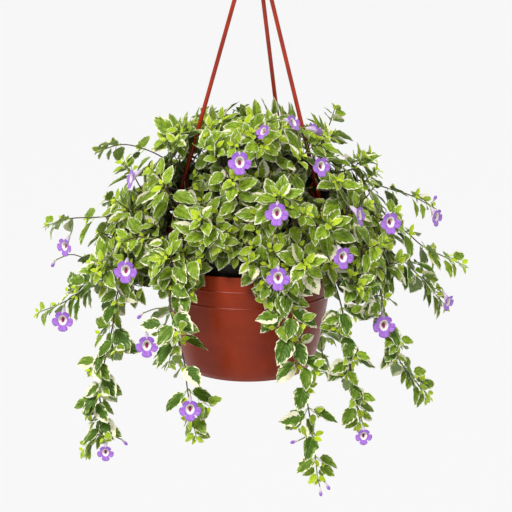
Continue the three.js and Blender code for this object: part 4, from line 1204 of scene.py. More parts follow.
    def nearest_joint(self, tip: Vec) -> tuple | None:
        """The stem, joint and direction from which a fine twig reaches a tip best.

        Args:
            tip: where the twig ends.

        Returns:
            The cost, the stem, the joint and the direction there, or None.
        """
        fine, best = self.fine, None
        low, high = fine.twig_reach
        for stem in self.stems:
            for twig in stem.twigs:
                if twig.radius < 1:
                    continue
                for k in range(1, len(twig.path) - 1):
                    way = tip - twig.path[k]
                    reach = length_of(way)
                    if low < reach < high:
                        axis = tangent_at(twig.path, k)
                        cost = reach - fine.twig_ahead * float(way @ axis) / reach
                        if best is None or cost < best[0]:
                            best = (cost, stem, twig.path[k], axis)
        return best

    def fine_twig(self, tip: Vec, pairs: Sequence[tuple], draw: Draws) -> bool:
        """Grows one fine leafy twig to a tip from the best joint, where its way is free.

        Args:
            tip: where the twig ends.
            pairs: distance from the tip and leaf size, for each pair of leaves.
            draw: the twig's random draws.

        Returns:
            True where the twig grew.
        """
        found = self.nearest_joint(tip)
        if not found:
            return False
        _, stem, start, axis = found
        normal = unit(self.dome.normal(tip) + vec(0, 0, 0.2))
        reach = span(start, tip)
        middle = (start + axis * (reach * 0.3) + tip - normal * (reach * 0.35)) * 0.5
        path = [start, middle, tip]
        inner = smooth(path, 4)[2:]
        fine = self.fine
        if not all(self.clear_of_hardware(p, fine.twig_air) and self.clear_of_blooms(p, fine.bloom_air)
                   for p in inner):
            return False
        wanted = [pair for pair in pairs if pair[0] < reach - 4]
        leaves = self.pairs_from_tip(path, wanted, stem.index, draw, 1 if draw() < 0.5 else -1)
        stem.twigs.append(Twig(path, 0.85, 0.55, leaves, 0.45))
        return True

    def fill_dome(self, count: int, levels: tuple, gap: float, pairs: Sequence[tuple],
                  seed: int, tips: list) -> None:
        """Spreads fine leafy twigs over one layer of the dome, wherever it still has room.

        Args:
            count: how many places are tried.
            levels: the layer's inner and outer level.
            gap: the least distance between two tips.
            pairs: distance from the tip and leaf size, for each pair of leaves.
            seed: starts the layer's random draws.
            tips: the tips that stand already; new ones are added.
        """
        fine, dome = self.fine, self.dome
        for k in range(count):
            draw = Draws(seed + k)
            rise = math.asin(1 - 1.28 * (k + 0.5) / count)
            tip = dome.point(k * GOLDEN, rise, blend(*levels, math.sqrt(draw())))
            if rise < 0:
                tip[2] = dome.base + dome.up * 0.9 * math.sin(rise) * draw()
            front = math.atan2(tip[0], -tip[1])
            low_front = fine.bare_front[0] < front < fine.bare_front[1] and rise < fine.bare_rise
            over_pot = abs(front) < fine.rim_front and rise < 0 and draw() > fine.rim_share
            if low_front or over_pot or not self.clear_of_hardware(tip, fine.tip_air):
                continue
            if any(span(other, tip) < gap for other in tips):
                continue
            if self.fine_twig(tip, pairs, draw):
                tips.append(tip)

    def grow_inner(self) -> None:
        """Older leaves deeper in the dome, on the bare inner joints of the stems."""
        for stem in self.stems:
            draw = Draws(self.fine.inner_seed + stem.index)
            for twig in stem.twigs[:1 + len(stem.shoots)]:
                taken = {leaf.joint for leaf in twig.leaves}
                for k in range(2 if twig is stem.twigs[0] else 1, len(twig.path) - 1):
                    level = self.dome.level(twig.path[k])
                    if k in taken or level < self.fine.inner_level:
                        continue
                    for way in (1, -1):
                        size = blend(*self.fine.inner_sizes, draw())
                        leaf = self.fine_leaf(twig.path[k], tangent_at(twig.path, k),
                                              1 if k % 2 else -1, way, self.fine.inner_lean, size,
                                              stem.index, draw())
                        if leaf:
                            leaf.joint = k
                            twig.leaves.append(leaf)

    def grow_fine(self) -> None:
        """Grows all that the solids leave to this model."""
        for stem in self.stems:
            draw = Draws(self.fine.tuft_seed + stem.index)
            grown = stem.twigs[:]
            for number, twig in enumerate(grown):
                pairs = self.fine.tip_tuft if number == 0 else self.fine.shoot_tuft
                base = 1 if len(pairs) % 2 == 0 else -1
                large = list(twig.leaves)
                tip_leaves = self.pairs_from_tip(twig.path, pairs, stem.index, draw, base)
                stem.twigs.extend(self.axil_tufts(stem, twig, draw))
                twig.leaves = large + tip_leaves
        self.grow_inner()
        fine = self.fine
        tips = [twig.path[-1] for stem in self.stems for twig in stem.twigs]
        self.fill_dome(fine.twigs, fine.twig_levels, fine.twig_gap, fine.twig_leaves,
                       fine.twig_seed, tips)
        self.fill_dome(fine.mass, fine.mass_levels, fine.mass_gap, fine.mass_leaves,
                       fine.mass_seed, [])
        self.shade_leaves()

    def shade_leaves(self) -> None:
        """Marks how deep in the dome each leaf lies, for the painted shade that darkens the leaves deep
        inside.
        """
        for stem in self.stems:
            for twig in stem.twigs:
                for leaf in twig.leaves:
                    middle = leaf.root + leaf.facing * (leaf.size * 0.6)
                    level = self.dome.level(middle)
                    inside = middle[2] > self.dome.base - 25
                    start, depth = self.fine.shade_levels
                    leaf.shade = clamp((start - level) / depth, 0, 1) if inside else 0


class Kind(Enum):
    """What a point of a stem's plan carries."""

    TWIG = 0
    LEAF = 1
    SEPAL = 2
    BUD = 3


class Socket(Enum):
    """The types of a tree's sockets."""

    FLOAT = "NodeSocketFloat"
    INT = "NodeSocketInt"
    VECTOR = "NodeSocketVector"
    COLOUR = "NodeSocketColor"
    SHAPES = "NodeSocketCollection"
    FINISH = "NodeSocketMaterial"
    GEOMETRY = "NodeSocketGeometry"


class Value:
    """What a node puts out. Sums on it read as plain arithmetic."""

    def __init__(self, wire: "Wiring", socket: bpy.types.NodeSocket) -> None:
        """Wraps a node's output."""
        self.wire, self.socket = wire, socket

    def __add__(self, other: object) -> "Value":
        """Both together."""
        return self.wire.math("ADD", self, other)

    def __sub__(self, other: object) -> "Value":
        """This one less the other."""
        return self.wire.math("SUBTRACT", self, other)

    def __rsub__(self, other: object) -> "Value":
        """The other less this one."""
        return self.wire.math("SUBTRACT", other, self)

    def __mul__(self, other: object) -> "Value":
        """The product of both."""
        return self.wire.math("MULTIPLY", self, other)

    def __truediv__(self, other: object) -> "Value":
        """This one shared out by the other."""
        return self.wire.math("DIVIDE", self, other)

    def __abs__(self) -> "Value":
        """The value without its sign."""
        return self.wire.math("ABSOLUTE", self)


class Wiring:
    """Adds nodes to a shader or geometry tree and links them in short calls."""

    def __init__(self, tree: bpy.types.NodeTree) -> None:
        """Starts with an emptied tree."""
        self.tree = tree
        tree.nodes.clear()

    def add(self, kind: str, **settings: object) -> bpy.types.Node:
        """A new node with its settings.

        Args:
            kind: the node's type.
            settings: the node's properties.

        Returns:
            The node.
        """
        node = self.tree.nodes.new(kind)
        for name, value in settings.items():
            setattr(node, name, value)
        return node

    def feed(self, socket: bpy.types.NodeSocket, value: object) -> None:
        """Links an output into an input, or sets the input's plain value.

        Args:
            socket: the input.
            value: an output or a plain value.
        """
        source = value.socket if isinstance(value, Value) else value
        if isinstance(source, bpy.types.NodeSocket):
            self.tree.links.new(source, socket)
        else:
            socket.default_value = source

    def made(self, kind: str, inputs: dict, output: int | str = 0, **settings: object) -> Value:
        """A new node with its inputs fed, by name or place.

        Args:
            kind: the node's type.
            inputs: what goes into each input.
            output: the output that is wanted.
            settings: the node's properties.

        Returns:
            The wanted output.
        """
        node = self.add(kind, **settings)
        for key, value in inputs.items():
            self.feed(node.inputs[key], value)
        return Value(self, node.outputs[output])

    def group(self, tree: bpy.types.NodeTree, **inputs: object) -> dict:
        """Places a group, feeds its inputs by name and gives its outputs by name.

        Args:
            tree: the group.
            inputs: what goes in, by name.

        Returns:
            The outputs by name.
        """
        kind = "ShaderNodeGroup" if tree.bl_idname == "ShaderNodeTree" else "GeometryNodeGroup"
        node = self.add(kind, node_tree=tree)
        for name, value in inputs.items():
            self.feed(node.inputs[name], value)
        return {socket.name: Value(self, socket) for socket in node.outputs}

    def math(self, operation: str, a: object, b: object = 0.0, clamped: bool = False) -> Value:
        """The result of one sum."""
        return self.made("ShaderNodeMath", {0: a, 1: b}, operation=operation, use_clamp=clamped)

    def step(self, value: object, low: object, high: object) -> Value:
        """A smooth step from 0 at low to 1 at high."""
        return self.made("ShaderNodeMapRange", {0: value, 1: low, 2: high, 3: 0.0, 4: 1.0},
                         interpolation_type="SMOOTHSTEP")

    def mix(self, share: object, a: object, b: object) -> Value:
        """A colour part of the way from a to b."""
        return self.made("ShaderNodeMix", {0: share, 6: a, 7: b}, 2, data_type="RGBA")

    def noise(self, vector: object, scale: object, detail: float = 2.0, rough: float = 0.5) -> Value:
        """Cloudy noise from 0 to 1."""
        return self.made("ShaderNodeTexNoise", {0: vector, 2: scale, 3: detail, 4: rough})

    def point(self, x: object, y: object, z: object) -> Value:
        """A vector from three values."""
        return self.made("ShaderNodeCombineXYZ", {0: x, 1: y, 2: z})

    def parts(self, vector: object) -> list:
        """The three values of a vector.

        Args:
            vector: the vector.

        Returns:
            The values.
        """
        node = self.add("ShaderNodeSeparateXYZ")
        self.feed(node.inputs[0], vector)
        return [Value(self, socket) for socket in node.outputs]

    def attribute(self, name: str) -> Value:
        """A value that the mesh carries."""
        return self.made("ShaderNodeAttribute", {}, "Fac", attribute_name=name)

    def place(self) -> Value:
        """Where a point lies on the object."""
        return self.made("ShaderNodeTexCoord", {}, "Object")

    def map(self, name: str) -> list:
        """The values of a UV map."""
        return self.parts(self.made("ShaderNodeUVMap", {}, uv_map=name))


def srgb(red: float, green: float, blue: float) -> tuple:
    """A screen colour from 0 to 255 as the linear colour that shaders take.

    Args:
        red: its red.
        green: its green.
        blue: its blue.

    Returns:
        The linear colour with its alpha.
    """
    def linear(value: float) -> float:
        """One channel made linear."""
        share = value / 255
        return share / 12.92 if share <= 0.04045 else ((share + 0.055) / 1.055) ** 2.4

    return linear(red), linear(green), linear(blue), 1.0


def new_tree(name: str, kind: str, inputs: Sequence[tuple], outputs: Sequence[tuple]) -> tuple:
    """A node group with named sockets.

    Args:
        name: the group's name.
        kind: ShaderNodeTree or GeometryNodeTree.
        inputs: name, type and default of each input.
        outputs: name and type of each output.

    Returns:
        The group, its wiring, what comes in by name, and its output node.
    """
    tree = bpy.data.node_groups.new(name, kind)
    wire = Wiring(tree)
    for label, socket_type, default in inputs:
        socket = tree.interface.new_socket(label, in_out="INPUT", socket_type=socket_type.value)
        if default is not None:
            socket.default_value = default
    for label, socket_type in outputs:
        tree.interface.new_socket(label, in_out="OUTPUT", socket_type=socket_type.value)
    start, end = wire.add("NodeGroupInput"), wire.add("NodeGroupOutput")
    return tree, wire, {socket.name: Value(wire, socket) for socket in start.outputs}, end


class Effects:
    """Shader groups that several finishes share, each built once."""

    def __init__(self) -> None:
        """Builds the groups."""
        self.mottle = self.build_mottle()
        self.grain = self.build_grain()
        self.veins = self.build_veins()

    @staticmethod
    def build_mottle() -> bpy.types.NodeTree:
        """Cloudy drift between two colours, coarse and fine.

        Returns:
            The group.
        """
        group, wire, given, end = new_tree("mottle", "ShaderNodeTree", [
            ("Vector", Socket.VECTOR, (0, 0, 0)), ("Scale", Socket.FLOAT, 20.0),
            ("First", Socket.COLOUR, (1, 1, 1, 1)), ("Second", Socket.COLOUR, (0, 0, 0, 1)),
            ("Fine", Socket.FLOAT, 0.3)], [("Colour", Socket.COLOUR), ("Mask", Socket.FLOAT)])
        coarse = wire.noise(given["Vector"], given["Scale"], 3.0, 0.55)
        fine = wire.noise(given["Vector"], given["Scale"] * 9.0, 2.0, 0.6)
        mask = wire.step((fine - 0.5) * given["Fine"] + coarse, 0.3, 0.7)
        wire.feed(end.inputs["Colour"], wire.mix(mask, given["First"], given["Second"]))
        wire.feed(end.inputs["Mask"], mask)
        return group

    @staticmethod
    def build_grain() -> bpy.types.NodeTree:
        """Fine surface grain as a height.

        Returns:
            The group.
        """
        group, wire, given, end = new_tree("grain", "ShaderNodeTree", [
            ("Vector", Socket.VECTOR, (0, 0, 0)), ("Scale", Socket.FLOAT, 900.0),
            ("Waves", Socket.FLOAT, 0.4)], [("Height", Socket.FLOAT)])
        fine = wire.noise(given["Vector"], given["Scale"], 3.0, 0.6)
        slow = wire.noise(given["Vector"], given["Scale"] * 0.04, 1.0)
        wire.feed(end.inputs["Height"], slow * given["Waves"] + fine)
        return group

    @staticmethod
    def build_veins() -> bpy.types.NodeTree:
        """Side veins that run out and forward from a middle rib, as a mask and a height.

        It serves leaves and sepals: Across is 0 on the middle rib and 1 on the margin.

        Returns:
            The group.
        """
        group, wire, given, end = new_tree("side_veins", "ShaderNodeTree", [
            ("Across", Socket.FLOAT, 0.0), ("Along", Socket.FLOAT, 0.0), ("Count", Socket.FLOAT, 7.0),
            ("Sweep", Socket.FLOAT, 0.3)],
            [("Line", Socket.FLOAT), ("Height", Socket.FLOAT), ("Path", Socket.FLOAT)])
        path = given["Along"] - wire.math("POWER", given["Across"], 1.3) * given["Sweep"]
        away = abs(wire.math("FRACT", path * given["Count"]) - 0.5)
        rib = 1.0 - wire.step(given["Across"], 0.015, 0.07)
        bulge = wire.math("COSINE", away * math.pi)
        wire.feed(end.inputs["Line"], wire.math("MAXIMUM", wire.step(away, 0.4, 0.5), rib))
        wire.feed(end.inputs["Height"], bulge - rib * 0.8)
        wire.feed(end.inputs["Path"], path)
        return group


@dataclass(frozen=True)
class Relief:
    """How strongly a height shows as a bump, and how deep it counts in metres."""

    strength: float
    depth: float


class Coat:
    """A material under way: its wiring and its shader."""

    def __init__(self, name: str) -> None:
        """Starts a material with a bare shader.

        Args:
            name: the material's name.
        """
        self.material = bpy.data.materials.new(name)
        self.material.use_nodes = True
        self.wire = Wiring(self.material.node_tree)
        self.shader = self.wire.add("ShaderNodeBsdfPrincipled")
        output = self.wire.add("ShaderNodeOutputMaterial")
        self.wire.feed(output.inputs["Surface"], self.shader.outputs["BSDF"])

    def done(self, relief: Relief | None = None, height: object = None,
             **inputs: object) -> bpy.types.Material:
        """Feeds the shader and gives the finished material.

        Args:
            relief: how the height shows.
            height: the surface's height, where it has one.
            inputs: what goes into the shader, by name with lines for spaces.

        Returns:
            The material.
        """
        for name, value in inputs.items():
            self.wire.feed(self.shader.inputs[name.replace("_", " ")], value)
        if relief:
            self.wire.feed(self.shader.inputs["Normal"], self.wire.made("ShaderNodeBump", {
                "Strength": relief.strength, "Distance": relief.depth, "Height": height}))
        return self.material


@dataclass(frozen=True)
class LeafFinish:
    """Variegated leaf: deep and light green, grey-green patches, and a broken cream margin; leaves deep in
    the dome are darkened by painted shade.
    """

    deep: tuple = srgb(64, 98, 10)
    fresh: tuple = srgb(166, 196, 38)
    patch: tuple = srgb(160, 188, 100)
    cream: tuple = srgb(255, 254, 228)
    warm: tuple = srgb(246, 236, 196)
    young: tuple = srgb(196, 220, 34)
    young_edge: tuple = srgb(226, 236, 120)
    under: tuple = srgb(150, 172, 104)
    shaded: tuple = srgb(32, 33, 10)
    side_veins: float = 7.0
    vein_sweep: float = 0.32
    vein_share: float = 0.2
    patch_share: float = 0.6
    margin_width: float = 0.1
    margin_drift: float = 1.2
    pale_half: float = 0.55
    shine: float = 0.22
    relief: Relief = Relief(0.5, 0.0009)

    def build(self, effects: Effects) -> bpy.types.Material:
        """Wires the leaf's material.

        Args:
            effects: the shared shader groups.

        Returns:
            The material.
        """
        coat = Coat("variegated_leaf")
        wire = coat.wire
        u, v, _ = wire.map("leaf")
        seed, age, inset, below, inside = map(wire.attribute, ("seed", "age", "inset", "under", "shade"))
        signed = (u - 0.5) * 2.0
        across = abs(signed)
        veins = wire.group(effects.veins, Across=across, Along=v, Count=self.side_veins,
                            Sweep=self.vein_sweep)
        own = seed * 61.0
        half = wire.math("SIGN", signed) * 7.0 + own
        streaks = wire.noise(wire.point(veins["Path"] * 7.5, across * 1.6, half), 1.0, 3.0, 0.6)
        patches = wire.noise(wire.point(veins["Path"] * 4.2, across * 2.2, half + 23.0), 1.0, 2.0, 0.55)
        pale_side = wire.step(wire.noise(wire.point(half, 3.0, 5.0), 1.7, 0.0), 0.62, 0.74)
        reach = pale_side * self.pale_half + (streaks - 0.5) * self.margin_drift + self.margin_width
        margin = wire.step(reach * wire.step(v, -0.05, 0.22) - inset, -0.035, 0.045)
        vigour = wire.math("SUBTRACT", 1.5, age * 0.9, clamped=True)
        green = wire.mix(wire.step(patches, 0.3, 0.62) * vigour, self.deep, self.fresh)
        green = wire.mix(vigour * 0.35, green, self.fresh)
        pale = wire.step(patches, 0.5, 0.6) * (1.0 - wire.step(inset, 0.35, 0.8))
        green = wire.mix(pale * self.patch_share, green, self.patch)
        green = wire.mix(veins["Line"] * self.vein_share, green, self.patch)
        edge = wire.mix(wire.noise(wire.point(own, v, 2.0), 1.3, 0.0), self.cream, self.warm)
        grown = wire.mix(margin, green, edge)
        fresh = wire.mix(margin, self.young, self.young_edge)
        colour = wire.mix(wire.step(age, 0.12, 0.55), fresh, grown)
        stalk = wire.step(v, 0.03, -0.01)
        colour = wire.mix(stalk, colour, self.young)
        colour = wire.mix(wire.step(below, 0.5, 0.9) * 0.45, colour, self.under)
        # Painted shade: leaves deep inside the dome are darkened towards a near-black olive.
        colour = wire.mix(inside * 0.92, colour, self.shaded)
        grain = wire.group(effects.grain, Vector=wire.place(), Scale=1400.0, Waves=0.0)
        return coat.done(self.relief, grain["Height"] * 0.15 + veins["Height"], Base_Color=colour,
                         Roughness=patches * 0.2 + 0.36, Specular_IOR_Level=self.shine)


@dataclass(frozen=True)
class StemFinish:
    """Stem skin: green near the tips and purple-brown where it is old."""

    old: tuple = srgb(44, 26, 28)
    old_light: tuple = srgb(86, 60, 48)
    green: tuple = srgb(128, 156, 60)
    relief: Relief = Relief(0.4, 0.0003)

    def build(self, effects: Effects) -> bpy.types.Material:
        """Wires the stem's material.

        Args:
            effects: the shared shader groups.

        Returns:
            The material.
        """
        coat = Coat("stem_skin")
        wire = coat.wire
        bark = wire.group(effects.mottle, Vector=wire.place(), Scale=120.0, First=self.old,
                           Second=self.old_light, Fine=0.5)
        share = wire.step(wire.attribute("age"), 0.15, 0.5)
        grain = wire.group(effects.grain, Vector=wire.place(), Scale=1500.0, Waves=0.5)
        return coat.done(self.relief, grain["Height"], Roughness=bark["Mask"] * 0.2 + 0.45,
                         Base_Color=wire.mix(share, self.green, bark["Colour"]))


@dataclass(frozen=True)
class PetalFinish:
    """Petals: violet lobes, a white throat ring whose upper cup is greyed by painted shade, the tube's
    magenta floor darkened by painted shade, a painted shadow in the throat's hole, and a pale tube.
    """

    violet: tuple = srgb(164, 98, 212)
    deep: tuple = srgb(116, 54, 172)
    light: tuple = srgb(196, 142, 234)
    white: tuple = srgb(250, 247, 240)
    # Painted shade: cup greys the upper part of the throat, where the upper lobes shade it.
    cup: tuple = srgb(222, 210, 186)
    # The tube floor's own magenta, darkened with painted shade.
    shaded_tube_floor: tuple = srgb(150, 4, 92)
    # Painted shadow in the hole of the throat.
    dark: tuple = srgb(120, 24, 70)
    tube: tuple = srgb(222, 200, 232)
    map_width: float = 40.0
    ring: tuple = (0.0, -0.5, 6.7, 8.3)
    upper_throat_shade_oval: tuple = (0.0, 2.0, 5.5, 5.9)
    shaded_tube_floor_oval: tuple = (0.0, -1.5, 3.0, 4.4)
    throat_hole_shadow_oval: tuple = (0.0, 0.9, 1.3, 1.7)
    sheen: float = 0.25
    relief: Relief = Relief(0.8, 0.0012)

    def build(self, effects: Effects) -> bpy.types.Material:
        """Wires the petal's material, patterned by the face's own millimetres.

        Args:
            effects: the shared shader groups; not used.

        Returns:
            The material.
        """
        coat = Coat("violet_petal")
        wire = coat.wire
        u, v, _ = wire.map("face")
        x, y = (u - 0.5) * self.map_width, (v - 0.5) * self.map_width
        back, own = wire.attribute("back"), wire.attribute("seed") * 31.0

        def oval(cx: float, cy: float, rx: float, ry: float) -> Value:
            """Distance from an oval's centre: 1 on its line."""
            dx, dy = (x - cx) / rx, (y - cy) / ry
            return wire.math("SQRT", dx * dx + dy * dy)

        angle = wire.math("ARCTAN2", y, x)
        veins = wire.noise(wire.point(angle * 7.0, oval(0, 0, 18, 18), own), 1.6, 3.0, 0.6)
        cloud = wire.noise(wire.point(x, y, own), 0.16, 2.0)
        speckle = wire.noise(wire.point(x, y, own), 0.75, 2.0, 0.6)
        lobes = wire.mix(wire.step(veins, 0.42, 0.7), self.violet, self.deep)
        lobes = wire.mix(wire.step(speckle, 0.45, 0.65) * 0.65, lobes, self.light)
        lobes = wire.mix(wire.step(cloud, 0.35, 0.75) * 0.55, lobes, self.light)
        lobes = wire.mix(wire.step(y, 2.0, 9.0) * 0.45, lobes, self.deep)
        ragged = (veins - 0.5) * 0.4 + oval(*self.ring)
        face = wire.mix(wire.step(ragged, 0.9, 1.06), self.white, lobes)
        # Painted shade over the upper cup of the throat.
        face = wire.mix(1.0 - wire.step(oval(*self.upper_throat_shade_oval), 0.6, 1.05), face, self.cup)
        # The tube floor's magenta with painted shade, seen down the throat.
        face = wire.mix(1.0 - wire.step(oval(*self.shaded_tube_floor_oval), 0.65, 1.05), face, self.shaded_tube_floor)
        # Painted shadow where the funnel closes into the tube.
        face = wire.mix(1.0 - wire.step(oval(*self.throat_hole_shadow_oval), 0.5, 1.1), face, self.dark)
        behind = wire.mix(wire.step(back, 0.45, 0.95), lobes, self.tube)
        colour = wire.mix(wire.step(back, 0.1, 0.35), face, behind)
        return coat.done(self.relief, veins + speckle * 0.6, Base_Color=colour,
                         Roughness=veins * 0.2 + 0.5, Sheen_Weight=self.sheen)


@dataclass(frozen=True)
class TwoToneFinish:
    """A soft plant part that runs from one colour at its foot to another at its tip."""

    name: str
    foot: tuple
    tip: tuple
    turn: tuple
    relief: Relief = Relief(0.35, 0.0004)

    def build(self, effects: Effects) -> bpy.types.Material:
        """Wires the material along the part's own length.

        Args:
            effects: the shared shader groups.

        Returns:
            The material.
        """
        coat = Coat(self.name)
        wire = coat.wire
        u, v, _ = wire.map("leaf")
        veins = wire.group(effects.veins, Across=abs((u - 0.5) * 2.0), Along=v, Count=3.0, Sweep=0.5)
        cloud = wire.noise(wire.point(u, v, wire.attribute("seed") * 9.0), 5.0, 2.0)
        share = (cloud - 0.5) * 0.35 + wire.step(v, *self.turn)
        return coat.done(self.relief, veins["Height"], Roughness=cloud * 0.2 + 0.42,
                         Base_Color=wire.mix(share, self.foot, self.tip))


@dataclass(frozen=True)
class PlasticFinish:
    """Moulded plastic: a near-even colour with faint cloudiness, moulding grain and soft scuffs."""

    name: str
    colour: tuple
    shade: tuple
    roughness: float
    cloud_scale: float = 9.0
    dust: tuple = srgb(150, 96, 66)
    dust_share: float = 0.06
    shine: float = 0.22
    relief: Relief = Relief(0.25, 0.0003)

    def build(self, effects: Effects) -> bpy.types.Material:
        """Wires the plastic's material.

        Args:
            effects: the shared shader groups.

        Returns:
            The material.
        """
        coat = Coat(self.name)
        wire = coat.wire
        place = wire.place()
        clouds = wire.group(effects.mottle, Vector=place, Scale=self.cloud_scale, First=self.colour,
                             Second=self.shade, Fine=0.12)
        scuff = wire.group(effects.mottle, Vector=place, Scale=60.0, First=(0, 0, 0, 1),
                            Second=(1, 1, 1, 1), Fine=0.9)
        dusty = wire.step(scuff["Mask"], 0.6, 1.0) * self.dust_share
        grain = wire.group(effects.grain, Vector=place, Scale=1100.0, Waves=0.7)
        return coat.done(self.relief, grain["Height"], Specular_IOR_Level=self.shine,
                         Roughness=scuff["Mask"] * 0.12 + self.roughness,
                         Base_Color=wire.mix(dusty, clouds["Colour"], self.dust))


@dataclass(frozen=True)
class SoilFinish:
    """Damp potting soil with paler fibres."""

    name: str = "potting_soil"
    dark: tuple = srgb(38, 27, 20)
    light: tuple = srgb(92, 68, 48)
    relief: Relief = Relief(0.9, 0.002)

    def build(self, effects: Effects) -> bpy.types.Material:
        """Wires the soil's material.

        Args:
            effects: the shared shader groups.

        Returns:
            The material.
        """
        coat = Coat(self.name)
        place = coat.wire.place()
        clods = coat.wire.group(effects.mottle, Vector=place, Scale=90.0, First=self.dark,
                                 Second=self.light, Fine=0.9)
        grain = coat.wire.group(effects.grain, Vector=place, Scale=500.0, Waves=1.0)
        return coat.done(self.relief, grain["Height"], Base_Color=clods["Colour"],
                         Roughness=clods["Mask"] * 0.1 + 0.85)


@dataclass(frozen=True)
class FloorFinish:
    """Plain pale paper."""

    colour: tuple = srgb(237, 237, 237)
    shine: float = 0.1

    def build(self, effects: Effects) -> bpy.types.Material:
        """Wires the paper's material.

        Args:
            effects: the shared shader groups.

        Returns:
            The material.
        """
        coat = Coat("pale_paper")
        grain = coat.wire.group(effects.grain, Vector=coat.wire.place(), Scale=300.0, Waves=0.2)
        return coat.done(Base_Color=self.colour, Specular_IOR_Level=self.shine,
                         Roughness=grain["Height"] * 0.05 + 0.8)


def new_mesh(name: str, points: np.ndarray, faces: Sequence, edges: Sequence = ()) -> bpy.types.Mesh:
    """A mesh from points in metres.

    Args:
        name: the mesh's name.
        points: its points.
        faces: the corners of each face.
        edges: loose edges, for lines.

    Returns:
        The mesh.
    """
    mesh = bpy.data.meshes.new(name)
    mesh.from_pydata([tuple(p) for p in np.asarray(points).tolist()], list(edges), list(faces))
    mesh.update()
    return mesh


def new_object(name: str, mesh: bpy.types.Mesh, shown: bool = True) -> bpy.types.Object:
    """An object that holds the mesh, linked into the scene where it is shown.

    Args:
        name: its name.
        mesh: its mesh.
        shown: says whether it is linked into the scene.

    Returns:
        The object.
    """
    piece = bpy.data.objects.new(name, mesh)
    if shown:
        bpy.context.scene.collection.objects.link(piece)
    return piece


def carry(mesh: bpy.types.Mesh, name: str, kind: str, values: Iterable) -> None:
    """Writes one value for each point of a mesh.

    Args:
        mesh: the mesh.
        name: the attribute's name.
        kind: FLOAT, INT or FLOAT_VECTOR.
        values: the values, in the points' order.
    """
    layer = mesh.attributes.new(name, kind, "POINT")
    data = np.asarray(list(values), dtype=np.int32 if kind == "INT" else np.float32).ravel()
    layer.data.foreach_set("vector" if kind == "FLOAT_VECTOR" else "value", data)


def map_corners(mesh: bpy.types.Mesh, name: str, places: np.ndarray) -> None:
    """Lays a UV map from one place for each point.

    Args:
        mesh: the mesh.
        name: the map's name.
        places: the place of each point.
    """
    layer = mesh.uv_layers.new(name=name)
    corners = np.zeros(len(mesh.loops), dtype=np.int32)
    mesh.loops.foreach_get("vertex_index", corners)
    layer.data.foreach_set("uv", np.asarray(places, dtype=np.float32)[corners].ravel())


def plain(piece: bpy.types.Object) -> bpy.types.Object:
    """Turns a piece with modifiers into a plain mesh with none.

    Args:
        piece: the piece.

    Returns:
        The same piece.
    """
    graph = bpy.context.evaluated_depsgraph_get()
    mesh = bpy.data.meshes.new_from_object(piece.evaluated_get(graph), preserve_all_data_layers=True,
                                           depsgraph=graph)
    piece.modifiers.clear()
    old = piece.data
    piece.data = mesh
    bpy.data.meshes.remove(old)
    return piece


def run_tree(piece: bpy.types.Object, tree: bpy.types.NodeTree, inputs: dict) -> None:
    """Runs a geometry tree over a piece and keeps the result as its plain mesh.

    Args:
        piece: the piece that the tree starts from.
        tree: the tree.
        inputs: its inputs by name; each is set by its identifier.
    """
    modifier = piece.modifiers.new(tree.name, "NODES")
    modifier.node_group = tree
    for item in tree.interface.items_tree:
        if item.item_type == "SOCKET" and item.in_out == "INPUT" and item.name in inputs:
            modifier[item.identifier] = inputs[item.name]
    plain(piece)


def solid(name: str, points: np.ndarray, faces: Sequence) -> bpy.types.Object:
    """A shown piece from plan points in millimetres."""
    return new_object(name, new_mesh(name, placed(points), faces))


def finish_off(piece: bpy.types.Object, material: bpy.types.Material, sharp: float = 180.0) -> None:
    """Gives a piece its finish and smooth shading.

    Args:
        piece: the piece.
        material: its finish.
        sharp: edges that bend by more degrees stay sharp.
    """
    piece.data.materials.clear()
    piece.data.materials.append(material)
    piece.data.shade_smooth()
    if sharp < 180:
        piece.data.set_sharp_from_angle(angle=rad(sharp))


def dress(piece: bpy.types.Object, slot: str, *nodes: str) -> bpy.types.Object:
    """Seats a finished piece in the frame under its body, and hides the nodes of the solids that it stands
    for.

    Args:
        piece: the piece.
        slot: its slot; not used.
        nodes: the nodes of the solids that it stands for.

    Returns:
        The same piece.
    """
    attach(piece, BODY)
    if nodes:
        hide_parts(*nodes)
    log.info("%s: %d faces", piece.name, len(piece.data.polygons))
    return piece


